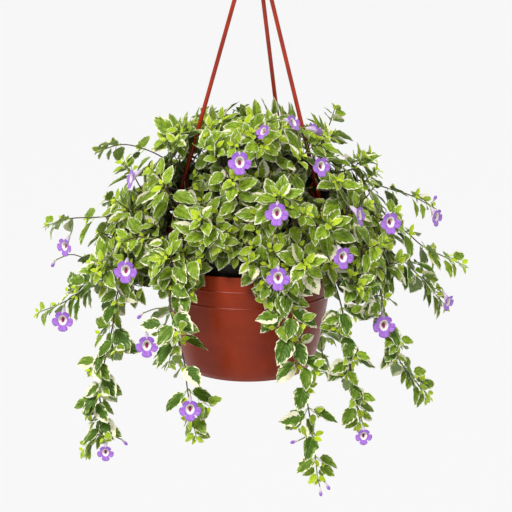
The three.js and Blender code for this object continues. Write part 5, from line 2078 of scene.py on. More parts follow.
class Recipes:
    """Geometry trees for what repeats or follows a line, each built once."""

    def __init__(self) -> None:
        """Builds the trees."""
        self.placed = self.build_placed()
        self.lines = self.build_lines()
        self.leafy = self.build_leafy()
        self.crumbs = self.build_crumbs()

    @staticmethod
    def start(name: str, inputs: Sequence[tuple]) -> tuple:
        """A tree that takes geometry and more, and puts out geometry."""
        return new_tree(name, "GeometryNodeTree", [("Geometry", Socket.GEOMETRY, None), *inputs],
                        [("Geometry", Socket.GEOMETRY)])

    @staticmethod
    def named(wire: Wiring, name: str, kind: str) -> Value:
        """A value that the geometry carries."""
        return wire.made("GeometryNodeInputNamedAttribute", {"Name": name}, "Attribute", data_type=kind)

    @staticmethod
    def end(wire: Wiring, end: bpy.types.Node, shape: Value, finish: Value) -> None:
        """Ends a tree: instances made real, and the finish set.

        Args:
            wire: the tree's wiring.
            end: the tree's output node.
            shape: what the tree has made.
            finish: its material.
        """
        real = wire.made("GeometryNodeRealizeInstances", {"Geometry": shape})
        wire.feed(end.inputs[0], wire.made("GeometryNodeSetMaterial", {
            "Geometry": real, "Material": finish}))

    @staticmethod
    def random(wire: Wiring, kind: str, low: object, high: object, **inputs: object) -> Value:
        """A random value between two, for each point.

        Args:
            wire: the tree's wiring.
            kind: the type of the value.
            low: the least value.
            high: the greatest value.
            inputs: what goes in, by name.

        Returns:
            The value.
        """
        node = wire.add("FunctionNodeRandomValue", data_type=kind)
        first, second = [socket for socket in node.inputs if socket.enabled][:2]
        wire.feed(first, low)
        wire.feed(second, high)
        for name, value in inputs.items():
            wire.feed(node.inputs[name], value)
        return Value(wire, next(socket for socket in node.outputs if socket.enabled))

    def build_placed(self) -> bpy.types.NodeTree:
        """Sets one of a collection's shapes on every point of one kind.

        Returns:
            The tree.
        """
        tree, wire, given, end = self.start("placed_shapes", [
            ("Kind", Socket.INT, 1), ("Shapes", Socket.SHAPES, None), ("Scale", Socket.FLOAT, 1.0),
            ("Finish", Socket.FINISH, None)])
        shapes = wire.made("GeometryNodeCollectionInfo", {
            "Collection": given["Shapes"], "Separate Children": True, "Reset Children": True})
        chosen = wire.add("FunctionNodeCompare", data_type="INT", operation="EQUAL")
        first, second = [socket for socket in chosen.inputs if socket.enabled][:2]
        wire.feed(first, self.named(wire, "kind", "INT"))
        wire.feed(second, given["Kind"])
        turn = wire.made("FunctionNodeAxesToRotation", {
            "Primary Axis": self.named(wire, "facing", "FLOAT_VECTOR"),
            "Secondary Axis": self.named(wire, "normal", "FLOAT_VECTOR")},
            primary_axis="Y", secondary_axis="Z")
        copies = wire.made("GeometryNodeInstanceOnPoints", {
            "Points": given["Geometry"], "Selection": chosen.outputs[0], "Instance": shapes,
            "Pick Instance": True, "Instance Index": self.named(wire, "variant", "INT"),
            "Rotation": turn, "Scale": self.named(wire, "size", "FLOAT") * given["Scale"]})
        self.end(wire, end, copies, given["Finish"])
        return tree

    def build_lines(self) -> bpy.types.NodeTree:
        """Turns lines into round rods whose thickness each point carries.

        Returns:
            The tree.
        """
        tree, wire, given, end = self.start("round_rods", [
            ("Sides", Socket.INT, 7), ("Scale", Socket.FLOAT, 1.0), ("Finish", Socket.FINISH, None)])
        curve = wire.made("GeometryNodeMeshToCurve", {"Mesh": given["Geometry"]})
        ring = wire.made("GeometryNodeCurvePrimitiveCircle", {"Resolution": given["Sides"], "Radius": 1.0})
        rod = wire.made("GeometryNodeCurveToMesh", {
            "Curve": curve, "Profile Curve": ring, "Fill Caps": True,
            "Scale": self.named(wire, "thick", "FLOAT") * given["Scale"]})
        self.end(wire, end, rod, given["Finish"])
        return tree

    def build_leafy(self) -> bpy.types.NodeTree:
        """A whole leafy stem: rods for its wood, and shapes for leaves, sepals and buds.

        Returns:
            The tree.
        """
        kinds = (Kind.LEAF, Kind.SEPAL, Kind.BUD)
        tree, wire, given, end = self.start("leafy_stem", [
            ("Stem sides", Socket.INT, 7), ("Stem scale", Socket.FLOAT, 1.0),
            ("Leaf scale", Socket.FLOAT, 1.0), ("Stem finish", Socket.FINISH, None),
            *[(f"{kind.name.title()} {part}", socket, None) for kind in kinds
              for part, socket in (("shapes", Socket.SHAPES), ("finish", Socket.FINISH))]])
        join = wire.add("GeometryNodeJoinGeometry")
        rods = wire.group(self.lines, Geometry=given["Geometry"], Sides=given["Stem sides"],
                           Scale=given["Stem scale"], Finish=given["Stem finish"])
        wire.feed(join.inputs[0], rods["Geometry"])
        for kind in kinds:
            label = kind.name.title()
            shapes = wire.group(self.placed, Geometry=given["Geometry"], Kind=kind.value,
                                Shapes=given[f"{label} shapes"], Finish=given[f"{label} finish"],
                                Scale=given["Leaf scale"] if kind is Kind.LEAF else 1.0)
            wire.feed(join.inputs[0], shapes["Geometry"])
        wire.feed(end.inputs[0], join.outputs[0])
        return tree

    def build_crumbs(self) -> bpy.types.NodeTree:
        """Scatters crumbs over the upward faces of the soil.

        Returns:
            The tree.
        """
        tree, wire, given, end = self.start("soil_crumbs", [
            ("Density", Socket.FLOAT, 9000.0), ("Smallest", Socket.FLOAT, 0.001),
            ("Largest", Socket.FLOAT, 0.0028), ("Seed", Socket.INT, 4), ("Finish", Socket.FINISH, None)])
        up = wire.parts(wire.made("GeometryNodeInputNormal", {}))[2]
        scatter = wire.add("GeometryNodeDistributePointsOnFaces")
        for name, value in (("Mesh", given["Geometry"]), ("Selection", wire.math("GREATER_THAN", up, 0.5)),
                            ("Density", given["Density"]), ("Seed", given["Seed"])):
            wire.feed(scatter.inputs[name], value)
        ball = wire.made("GeometryNodeMeshIcoSphere", {"Radius": 1.0, "Subdivisions": 1}, "Mesh")
        form = self.random(wire, "FLOAT_VECTOR", (0.6, 0.6, 0.4), (1.5, 1.1, 0.9), Seed=given["Seed"])
        amount = self.random(wire, "FLOAT", given["Smallest"], given["Largest"])
        scale = wire.made("ShaderNodeVectorMath", {0: form, "Scale": amount}, operation="SCALE")
        copies = wire.made("GeometryNodeInstanceOnPoints", {
            "Points": scatter.outputs["Points"], "Instance": ball,
            "Rotation": scatter.outputs["Rotation"], "Scale": scale})
        self.end(wire, end, copies, given["Finish"])
        return tree


@dataclass(frozen=True)
class LeafShape:
    """One form of leaf at unit length: its stalk, its toothed blade, and how the blade bends."""

    fold: float = 0.28
    curl: float = 0.1
    twist: float = 0.0
    wave: float = 0.012
    phase: float = 0.0
    width: float = 0.265
    stalk: float = 0.17
    stations: int = 9
    columns: tuple = (-1.0, -0.5, 0.0, 0.5, 1.0)
    teeth: float = 0.038
    belly: float = 0.1
    thick: float = 0.007

    def half_width(self, t: float) -> float:
        """The smooth outline's half width at a share of the blade."""
        return 2.68 * (t ** 0.55) * ((1 - t) ** 0.95) if 0 < t < 1 else 0.0

    def surface(self, s: float, t: float, tooth: float, lift: float) -> tuple:
        """A point of the blade.

        Args:
            s: share across, from -1 to 1.
            t: share along the blade.
            tooth: how far a tooth stands out here.
            lift: share of the thickness above or below the middle.

        Returns:
            Its three coordinates.
        """
        x = s * self.width * self.half_width(t) * tooth
        along = self.stalk + (1 - self.stalk) * t + (0.012 if tooth > 1 else 0.0) * abs(s)
        z = self.fold * abs(x) - self.curl * along * along
        z -= self.belly * self.width * self.half_width(t) * s * s * 0.6
        z += self.wave * s * abs(s) * math.sin(2 * math.pi * (2.2 * t) + self.phase + 1.3 * s)
        z += lift * self.thick * (1 - abs(s))
        turn = self.twist * t
        return (x * math.cos(turn) - z * math.sin(turn), along, x * math.sin(turn) + z * math.cos(turn))

    def build(self, name: str) -> bpy.types.Object:
        """Makes the leaf's closed mesh, with its map and carried values.

        Args:
            name: its name.

        Returns:
            The hidden leaf.
        """
        points, uv, inset, under, faces = [], [], [], [], []

        def put(s: float, t: float, tooth: float, side: int) -> int:
            """Adds one point of the blade and returns its number."""
            points.append(self.surface(s, t, tooth, side))
            uv.append((s * 0.5 + 0.5, t))
            inset.append((1 - abs(s)) * self.half_width(t))
            under.append(0.5 - 0.5 * side)
            return len(points) - 1

        base = put(0.0, 0.0, 1.0, 0)
        top_rows, low_rows = [], []
        for k in range(1, self.stations):
            t = k / self.stations
            tooth = 1 + (self.teeth if k % 2 else -self.teeth) * (1 if 0.12 < t < 0.95 else 0)
            top = [put(s, t, tooth, 0 if abs(s) == 1 else 1) for s in self.columns]
            low = [top[0], *[put(s, t, tooth, -1) for s in self.columns[1:-1]], top[-1]]
            top_rows.append(top)
            low_rows.append(low)
        tip = put(0.0, 1.0, 1.0, 0)
        for rows, flip in ((top_rows, False), (low_rows, True)):
            for k in range(len(self.columns) - 1):
                ends = [[base, rows[0][k + 1], rows[0][k]], [tip, rows[-1][k], rows[-1][k + 1]]]
                quads = [[a[k], a[k + 1], b[k + 1], b[k]] for a, b in zip(rows, rows[1:])]
                faces.extend(face[::-1] if flip else face for face in [*ends, *quads])
        blade_points = len(points)
        self.add_stalk(points, uv, faces)
        extra = len(points) - blade_points
        mesh = new_mesh(name, np.array(points), faces)
        map_corners(mesh, "leaf", np.array(uv))
        carry(mesh, "inset", "FLOAT", inset + [1.0] * extra)
        carry(mesh, "under", "FLOAT", under + [0.0] * extra)
        mesh.shade_smooth()
        self.crease(mesh, top_rows, low_rows, base, tip)
        return new_object(name, mesh, False)

    def add_stalk(self, points: list, uv: list, faces: list) -> None:
        """Adds the three-sided stalk, sunk a little into stem and blade.

        Args:
            points: the leaf's points.
            uv: their places on the map.
            faces: the faces.
        """
        if self.stalk < 0.12:
            return
        rings = []
        for along, radius in ((-0.01, 0.016), (self.stalk * 0.5, 0.012), (self.stalk + 0.06, 0.007)):
            rings.append(list(range(len(points), len(points) + 3)))
            for corner in range(3):
                turn = 2 * math.pi * corner / 3 + math.pi / 2
                z = -self.curl * along * along - self.thick * 0.6
                points.append((radius * math.cos(turn), along, z + radius * math.sin(turn)))
                uv.append((0.5, -0.3))
        for a, b in zip(rings, rings[1:]):
            faces.extend([a[k], b[k], b[(k + 1) % 3], a[(k + 1) % 3]] for k in range(3))
        faces.extend([rings[0], rings[-1][::-1]])

    @staticmethod
    def crease(mesh: bpy.types.Mesh, tops: list, lows: list, base: int, tip: int) -> None:
        """Marks the margin and the middle rib as sharp.

        Args:
            mesh: the leaf's mesh.
            tops: rows of points on the upper side.
            lows: rows of points on the lower side.
            base: the first point of the blade.
            tip: its last point.
        """
        middle = len(tops[0]) // 2
        lines = [[base, *[row[place] for row in rows], tip]
                 for rows, place in ((tops, 0), (tops, -1), (tops, middle), (lows, middle))]
        sharp = {frozenset(pair) for line in lines for pair in zip(line, line[1:])}
        layer = mesh.attributes.new("sharp_edge", "BOOLEAN", "EDGE")
        layer.data.foreach_set("value", [frozenset(edge.vertices) in sharp for edge in mesh.edges])


def turned_points(profile: Sequence[tuple], sides: int) -> tuple:
    """A solid of revolution round Z from a profile that starts and ends on the axis.

    Args:
        profile: radius and height of each point, from the bottom's middle round to the top's.
        sides: how many faces go round.

    Returns:
        The points and the faces.
    """
    points, rows, faces = [], [], []
    for r, z in profile:
        if r < 1e-9:
            rows.append([len(points)] * sides)
            points.append((0.0, 0.0, z))
            continue
        rows.append(list(range(len(points), len(points) + sides)))
        for k in range(sides):
            turn = 2 * math.pi * k / sides
            points.append((r * math.cos(turn), r * math.sin(turn), z))
    for low, high in zip(rows, rows[1:]):
        for k in range(sides):
            n = (k + 1) % sides
            face = [low[k], low[n], high[n], high[k]]
            corners = list(dict.fromkeys(face))
            if len(corners) > 2:
                faces.append(corners)
    return np.array(points), faces


def rounded(profile: Sequence[tuple], radii: Sequence[float], steps: int = 4) -> list:
    """Rounds the corners of a profile.

    Args:
        profile: its points.
        radii: how much of each corner is rounded, 0 for none.
        steps: how many lengths each round gets.

    Returns:
        The finer profile.
    """
    result = []
    for k, (place, radius) in enumerate(zip(profile, radii)):
        if radius <= 0 or k in (0, len(profile) - 1):
            result.append(place)
            continue
        here, before, after = (np.array(profile[i], float) for i in (k, k - 1, k + 1))
        back = min(radius, span(here, before) * 0.48)
        ahead = min(radius, span(here, after) * 0.48)
        a, b = here + unit(before - here) * back, here + unit(after - here) * ahead
        for i in range(steps + 1):
            t = i / steps
            result.append(tuple(a * (1 - t) ** 2 + here * 2 * t * (1 - t) + b * t * t))
    return result


def combine(piece: bpy.types.Object, others: Sequence[bpy.types.Object],
            operation: str = "DIFFERENCE") -> None:
    """Cuts other pieces out of a piece, or joins them to it, and removes them.

    Args:
        piece: the piece that stays.
        others: what is cut out or joined.
        operation: DIFFERENCE or UNION.
    """
    for other in others:
        modifier = piece.modifiers.new("combine", "BOOLEAN")
        modifier.operation, modifier.solver, modifier.object = operation, "EXACT", other
    plain(piece)
    for other in others:
        bpy.data.objects.remove(other)


def rod_points(radius: float, height: float, sides: int) -> tuple:
    """The points and faces of an upright round rod."""
    return turned_points([(0, 0), (radius, 0), (radius, height), (0, height)], sides)


def rod_cutter(centre: Vec, radius: float, height: float) -> bpy.types.Object:
    """An upright round cutter, in plan millimetres."""
    points, faces = rod_points(radius, height, 32)
    return solid("cutter", points + centre, faces)


def prism(name: str, low: Sequence[tuple], high: Sequence[tuple], degrees: float) -> bpy.types.Object:
    """A closed prism, turned round the pot's axis.

    Args:
        name: the piece's name.
        low: the points of one end, in plan millimetres.
        high: the points of the other end.
        degrees: how far it is turned.

    Returns:
        The piece.
    """
    count, turn = len(low), rad(degrees)
    x, y, z = np.array([*low, *high]).T
    across, ahead = x * math.cos(turn) - y * math.sin(turn), x * math.sin(turn) + y * math.cos(turn)
    faces = [list(range(count))[::-1], list(range(count, 2 * count))]
    faces += [[k, (k + 1) % count, (k + 1) % count + count, k + count] for k in range(count)]
    return solid(name, np.column_stack([across, ahead, z]), faces)


def drain_cutters(plan: PotPlan, z: float, height: float) -> list:
    """Cutters for the four drain holes."""
    places = [on_circle(plan.drain_circle, plan.first_drain + 90 * k, z) for k in range(4)]
    return [rod_cutter(place, plan.drain_radius, height) for place in places]


@dataclass
class PotBody:
    """The terracotta-brown pot: rim band, two raised rings, notched foot and three ears."""

    plan: PotPlan
    hanger: HangerPlan
    finish: PlasticFinish = PlasticFinish("pot_plastic", srgb(146, 46, 12), srgb(124, 36, 9), 0.3)
    sides: int = 112
    ring_heights: tuple = (118.0, 143.0)
    ring_rise: float = 0.9
    ring_half: float = 1.5

    def profile(self) -> list:
        """The pot's section, from the middle of its underside round to its floor.

        Returns:
            Radius and height of each point.
        """
        plan = self.plan
        foot = plan.outline[0][0]
        inner = foot - plan.foot_width
        body = smooth([vec(r, z, 0) for r, z in plan.outline[1:-1]], 6)
        wall = [(p[0], p[1]) for p in body]
        for height in self.ring_heights:
            wall = [p for p in wall if abs(p[1] - height) > self.ring_half * 1.6]
            r = plan.radius_at(height)
            wall += [(r, height - self.ring_half), (r + self.ring_rise, height - 0.4),
                     (r + self.ring_rise, height + 0.4), (r, height + self.ring_half)]
        wall.sort(key=lambda p: p[1])
        rim = plan.outline[-1][0]
        corners = [(0, plan.foot_height), (inner, plan.foot_height), (inner, 0), (foot, 0), *wall,
                   (rim, plan.height), (plan.inside[-1][0], plan.height),
                   *[(r, z) for r, z in plan.inside[-2::-1]], (0, plan.inside[0][1])]
        radii = [0, 1.2, 1.2, 1.5, *[0.6] * len(wall), 1.1, 1.1, 3, 3, 3, 0]
        return rounded(corners, radii)

    def build(self, effects: Effects) -> None:
        """Makes and dresses the pot.

        Args:
            effects: the shared shader groups.
        """
        plan, hanger = self.plan, self.hanger
        pot = solid("pot_shell", *turned_points(self.profile(), self.sides))
        for _, turn in hanger.bearings:
            combine(pot, [self.ear(turn)], "UNION")
        cutters = drain_cutters(plan, 2, 7)
        cutters += [rod_cutter(hanger.ear(turn) - vec(0, 0, 6), hanger.ear_hole, 8)
                    for _, turn in hanger.bearings]
        cutters += [self.notch(plan.first_notch + 90 * k) for k in range(4)]
        combine(pot, cutters)
        finish_off(pot, self.finish.build(effects), 38)
        dress(pot, "pot", "pot")

    def ear(self, degrees: float) -> bpy.types.Object:
        """A lug on the rim, rounded at its outer end, that an arm clips through.

        Args:
            degrees: its bearing.

        Returns:
            The ear.
        """
        h = self.hanger
        half, back = h.ear_size / 2, h.ear_circle - 8
        arc = [(h.ear_circle + half * math.cos(a), half * math.sin(a))
               for a in np.linspace(-math.pi / 2, math.pi / 2, 13)[1:-1]]
        ring = [(back, -half), (h.ear_circle, -half), *arc, (h.ear_circle, half), (back, half)]
        low, high = ([(x, y, z) for x, y in ring] for z in (h.ear_top - h.ear_thick, h.ear_top))
        return prism("ear", low, high, degrees)

    def notch(self, degrees: float) -> bpy.types.Object:
        """An arched cutter for one of the foot's notches.

        Args:
            degrees: its bearing.

        Returns:
            The cutter.
        """
        plan = self.plan
        half, reach = plan.notch_width / 2, 2 * plan.foot_width
        arch = [(half * math.cos(a), plan.foot_height * 0.75 * math.sin(a))
                for a in np.linspace(0, math.pi, 13)]
        ring = [(half, -1.0), *arch, (-half, -1.0)]
        outer, inner = ([(plan.outline[0][0] + way, y, z) for y, z in ring] for way in (reach, -reach))
        return prism("notch", outer, inner, degrees)


@dataclass
class LinerBody:
    """The thin black nursery pot with its rolled rim and stepped wall."""

    plan: PotPlan
    finish: PlasticFinish = PlasticFinish("liner_plastic", srgb(26, 25, 23), srgb(16, 16, 15), 0.42,
                                          dust=srgb(96, 84, 70), dust_share=0.25)
    sides: int = 112
    steps: tuple = (60.0, 110.0, 150.0, 172.0, 176.0)
    step_rise: float = 0.35

    def build(self, effects: Effects) -> None:
        """Makes and dresses the liner.

        Args:
            effects: the shared shader groups.
        """
        plan = self.plan
        top, wall = plan.liner_top, plan.liner_wall
        out = plan.liner_at
        low = top - 4
        floor = plan.liner_bottom + wall
        outer = [(out(plan.liner_bottom), plan.liner_bottom)]
        for height in self.steps:
            outer += [(out(height), height), (out(height) + self.step_rise, height + 0.8)]
        corners = [(0, plan.liner_bottom), *outer, (out(low), low), (out(low) + plan.lip, low),
                   (plan.liner_radius + plan.lip, top), (plan.liner_radius - wall, top),
                   (out(floor) - wall, floor), (0, floor)]
        radii = [0, 3, *[0.3] * (len(outer) - 1), 0.5, 0.8, 1.3, 0.7, 3, 0]
        liner = solid("liner_shell", *turned_points(rounded(corners, radii), self.sides))
        combine(liner, drain_cutters(plan, plan.liner_bottom - 1, wall + 2))
        finish_off(liner, self.finish.build(effects), 38)
        dress(liner, "liner", "liner")


@dataclass
class SoilBed:
    """Soil with a lumpy top, and loose crumbs over it."""

    plan: PotPlan
    finish: SoilFinish = SoilFinish()
    crumb_finish: SoilFinish = SoilFinish("soil_crumb", srgb(48, 34, 24), srgb(128, 98, 70))
    sides: int = 96
    lump: float = 2.2
    crumb_density: float = 9000.0
    crumb_sizes: tuple = (0.001, 0.0028)

    def build(self, effects: Effects, recipes: Recipes) -> None:
        """Makes and dresses the soil and its crumbs.

        Args:
            effects: the shared shader groups.
            recipes: the geometry trees.
        """
        plan = self.plan
        bottom = plan.liner_bottom + plan.liner_wall + 0.3
        inset = plan.liner_wall + 0.5
        edge = plan.liner_at(plan.soil_edge) - inset
        top = [(edge * share, blend(plan.soil_top, plan.soil_edge, share ** 2))
               for share in np.linspace(1, 0, 26)]
        section = [(0, bottom), (plan.liner_at(bottom) - inset, bottom), *top]
        points, faces = turned_points(section, self.sides)
        draw = np.random.default_rng(12)
        waves = draw.uniform(-1, 1, (14, 4)) * (0.16, 0.16, math.pi, 1)
        upper = points[:, 2] > plan.soil_edge - 0.5
        inner = np.hypot(points[:, 0], points[:, 1]) < edge * 0.985
        lift = sum(w[3] * np.sin(w[0] * points[:, 0] + w[1] * points[:, 1] + w[2] * 3) for w in waves)
        points[:, 2] += np.where(upper & inner, lift * self.lump / 8, 0)
        bed = solid("soil_bed", points, faces)
        bed.data.shade_smooth()
        crumbs = new_object("soil_crumbs", bed.data.copy())
        run_tree(crumbs, recipes.crumbs, {
            "Density": self.crumb_density, "Smallest": self.crumb_sizes[0],
            "Largest": self.crumb_sizes[1], "Seed": 4, "Finish": self.crumb_finish.build(effects)})
        finish_off(bed, self.finish.build(effects))
        dress(bed, "soil", "soil")
        dress(crumbs, "soil")


@dataclass
class Hanger:
    """The hook with its hub, and the three arms with their fingers and barbed feet."""

    plan: HangerPlan
    finish: PlasticFinish = PlasticFinish("hanger_plastic", srgb(172, 46, 8), srgb(146, 34, 6), 0.24,
                                          cloud_scale=30.0, shine=0.4, relief=Relief(0.15, 0.0003))
    sides: int = 20

    def rods(self, name: str, lines: Sequence[tuple], recipes: Recipes,
             material: bpy.types.Material) -> bpy.types.Object:
        """Makes round rods.

        Args:
            name: the piece's name.
            lines: the points of each line and the radius at each point, in millimetres.
            recipes: the geometry trees.
            material: the finish.

        Returns:
            The piece as a plain mesh.
        """
        points, edges, thick = [], [], []
        for line, radii in lines:
            first = len(points)
            points.extend(line)
            thick.extend(r * MM for r in radii)
            edges.extend((first + k, first + k + 1) for k in range(len(line) - 1))
        mesh = new_mesh(name, placed(np.array(points)), [], edges)
        carry(mesh, "thick", "FLOAT", thick)
        piece = new_object(name, mesh)
        run_tree(piece, recipes.lines, {"Sides": self.sides, "Scale": 1.0, "Finish": material})
        finish_off(piece, material, 50)
        return piece

    @staticmethod
    def round_end(line: list, radius: float) -> tuple:
        """A line whose last end is rounded off, with its radii.

        Args:
            line: its points.
            radius: its radius.

        Returns:
            The points and the radii.
        """
        way = unit(line[-1] - line[-2])
        caps = [(math.sin(a), math.cos(a)) for a in np.linspace(0, math.pi / 2, 5)[1:]]
        points = [*line, *[line[-1] + way * (radius * ahead) for ahead, _ in caps]]
        return points, [radius] * len(line) + [max(radius * share, 0.05) for _, share in caps]

    def arm_lines(self, turn: float) -> list:
        """The rod, finger and barbed foot of one arm.

        Args:
            turn: the arm's bearing.

        Returns:
            The points and radii of each line.
        """
        p = self.plan
        ear = p.ear(turn)
        straight = vec(ear[0], ear[1], p.ear_top + p.arm_straight)
        shoulder = vec(ear[0], ear[1], p.ear_top + 0.3)
        bend = smooth([p.at(turn, p.ear_top + p.arm_bend + 16), p.at(turn, p.ear_top + p.arm_bend),
                       straight, shoulder], 6)
        rod = [p.at(turn, p.arm_top), p.at(turn, p.eye_top), *bend]
        radii = [p.arm_radius] * (len(rod) - 1) + [p.arm_radius * 0.94]
        inward = on_circle(1, turn + 180, 0)
        finger = smooth([p.at(turn, p.eye_top - p.eye_height * fall) + inward * (p.eye_width * out)
                         for fall, out in p.finger_line], 8)
        top = p.ear_top - p.ear_thick - 0.3
        foot = [vec(ear[0], ear[1], z) for z in (p.ear_top + 5, top - 0.2, top - 0.4, top - 1.4,
                                                 top - p.barb_height + 0.5, top - p.barb_height)]
        foot_radii = [p.spigot, p.spigot, p.barb_radius - 0.3, p.barb_radius, p.barb_tip + 0.4, p.barb_tip]
        return [(rod, radii), self.round_end(finger, p.finger_radius), (foot, foot_radii)]

    def build(self, effects: Effects, recipes: Recipes) -> None:
        """Makes and dresses the hook and the arms.

        Args:
            effects: the shared shader groups.
            recipes: the geometry trees.
        """
        p = self.plan
        material = self.finish.build(effects)
        for name, turn in p.bearings:
            arm = self.rods(f"arm_{name}", self.arm_lines(turn), recipes, material)
            dress(arm, "hanger", f"hanger_arm_{name}")
        centre = p.bearing - (p.loop - p.rod)
        loop = [vec(p.hook_x + p.loop * math.cos(a), 0, centre + p.loop * math.sin(a))
                for a in np.linspace(rad(p.loop_start), rad(p.loop_tip), 40)]
        start = [vec(p.hook_x, 0, p.hub_top - 6), vec(p.hook_x, 0, p.hub_top + 4)]
        neck = smooth([*start, loop[0], loop[1]], 6)
        line, radii = self.round_end([*neck, *loop[2:]], p.rod)
        hook = self.rods("hook_rod", [(line, radii)], recipes, material)
        corners = [(0, p.hub_bottom), *p.hub_outline, (0, p.hub_top)]
        profile = rounded(corners, [0, 1.4, 1.4, 6, 4, 1.5, 0], 6)
        points, faces = turned_points(profile, 64)
        hub = solid("hub", points + vec(p.hook_x, 0, 0), faces)
        self.socket_holes(hub)
        finish_off(hub, material, 40)
        dress(hook, "hanger", "hanger_hook")
        dress(hub, "hanger", "hanger_hook")

    def socket_holes(self, hub: bpy.types.Object) -> None:
        """Cuts the sockets that the arms plug into.

        Args:
            hub: the hub.
        """
        p = self.plan
        cutters = []
        for _, turn in p.bearings:
            low, high = p.at(turn, p.hub_bottom - 4), p.at(turn, p.arm_top + 0.3)
            points, faces = rod_points(p.arm_radius + p.socket_air, span(low, high), 24)
            way = unit(high - low)
            side = unit(np.cross(way, vec(0, 1, 0)))
            basis = np.array([side, np.cross(way, side), way])
            cutters.append(solid("cutter", points @ basis + low, faces))
        combine(hub, cutters)


@dataclass
class Corolla:
    """One open flower: five rounded lobes round a funnel throat, and a rising tube.

    A tube's ring is radius, depth and bend. A funnel's ring is radius, depth and lift. A lobes' ring
    is the share of the way out and the drop. Last in each row is how far it counts as the back.
    """

    plan: PlantPlan
    steps: int = 10
    edge: float = 0.63
    rim_depth: float = 1.6
    throat: float = 7.6
    ripple: float = 0.55
    upper_set_back: float = 0.8
    inner_tube: tuple = ((1.2, 8.2, 1, 0), (2.7, 6.6, 1, 0))
    funnel: tuple = ((3.7, -5.4, 0.9, 0), (4.7, -3.2, 0, 0), (6.1, -1.4, 0, 0))
    lobes: tuple = ((0, 0.5, 0), (0.35, 0, 0), (0.65, 0, 0), (0.88, 0, 0), (1, 0.1, 0.2),
                    (0.85, 0.55, 0.5), (0.3, 0.75, 0.55))
    funnel_back: tuple = ((6.9, -2.6, 0.2, 0.7), (5.8, -5.6, 1.2, 0.9))
    outer_tube: tuple = ((4.6, 10, 0.9, 1), (3.3, 15.5, 1, 1), (2.1, 22, 1, 1))

    def reach(self, lobe: int, swing: float) -> float:
        """The lobe's length at a swing from its middle, from -1 to 1.

        Args:
            lobe: the lobe's number.
            swing: the place across the lobe, from -1 to 1.

        Returns:
            The length.
        """
        full = self.plan.bloom_radius * (1.06 if lobe == 0 else 0.95 if lobe in (1, 4) else 0.8)
        shape = max(1 - abs(swing) ** 2.8, 0) ** 0.5
        return full * (self.edge + (1 - self.edge) * shape)

    def rings(self, seed: int) -> tuple:
        """The flower's rings of points in its own millimetres, front and then back.

        Args:
            seed: varies the waves of the lobes.

        Returns:
            Points, how far back each counts, and the number of points in a ring.
        """
        draw = Draws(seed)
        wobble = [draw() * 2 * math.pi for _ in range(5)]
        tilt, count = rad(self.plan.tube_rise), 5 * self.steps
        turns = [rad(-90 + 360 * (k - self.steps / 2) / count) for k in range(count)]

        def tube_ring(radius: float, depth: float, bend: float) -> list:
            """A ring of the tube, leaning back along it."""
            lean = tilt * bend
            rise, fall = depth * math.sin(tilt), depth * math.cos(tilt)
            return [(radius * math.cos(a), radius * math.sin(a) * math.cos(lean) + rise,
                     radius * math.sin(a) * math.sin(lean) - fall) for a in turns]

        def flat_ring(radius: float, depth: float, lift: float) -> list:
            """A ring in the plane of the face."""
            return [(radius * math.cos(a), radius * math.sin(a) + lift, depth) for a in turns]

        def lobe_ring(share: float, drop: float) -> list:
            """A ring out on the lobes, at a share of the way from the throat to the edge."""
            ring = []
            for k, a in enumerate(turns):
                lobe, inside = divmod(k, self.steps)
                swing = 2 * inside / self.steps - 1
                r = blend(self.throat, self.reach(lobe, swing), share)
                cup = 0.9 * share * share - self.rim_depth * share * abs(swing) ** 4
                ripple = self.ripple * share * math.sin(2.6 * swing + wobble[lobe])
                ripple -= self.upper_set_back * share if lobe in (2, 3) else 0
                ring.append((r * math.cos(a), r * math.sin(a), cup + ripple - drop))
            return ring

        parts = [(tube_ring, self.inner_tube), (flat_ring, self.funnel), (lobe_ring, self.lobes),
                 (flat_ring, self.funnel_back), (tube_ring, self.outer_tube)]
        rows = [(make(*sizes), behind) for make, table in parts for *sizes, behind in table]
        return [ring for ring, _ in rows], [behind for _, behind in rows], count

    def build(self, bloom: Bloom, index: int, material: bpy.types.Material) -> None:
        """Makes and dresses the corolla of one bloom.

        Args:
            bloom: the bloom.
            index: its number.
            material: its finish.
        """
        rows, back, count = self.rings(40 + index)
        local = np.array([p for ring in rows for p in ring])
        ends = np.array([np.mean(rows[0], axis=0), np.mean(rows[-1], axis=0)])
        local = np.concatenate([local, ends])
        basis = np.array([bloom.side, bloom.over, bloom.facing])
        world = placed((local * bloom.scale) @ basis + bloom.centre)
        faces = []
        for row in range(len(rows) - 1):
            for k in range(count):
                n = (k + 1) % count
                a, b = row * count, (row + 1) * count
                faces.append([a + k, b + k, b + n, a + n])
        deep, heel = len(rows) * count, len(rows) * count + 1
        last = (len(rows) - 1) * count
        faces += [[deep, k, (k + 1) % count] for k in range(count)]
        faces += [[heel, last + (k + 1) % count, last + k] for k in range(count)]
        name = f"corolla_{bloom.name}"
        piece = new_object(name, new_mesh(name, world, faces))
        map_corners(piece.data, "face", local[:, :2] / 40 + 0.5)
        carry(piece.data, "back", "FLOAT", [value for value in back for _ in range(count)] + [0, 1])
        carry(piece.data, "seed", "FLOAT", [Draws(index)()] * len(local))
        finish_off(piece, material)
        dress(piece, "bloom", f"bloom_{bloom.name}")


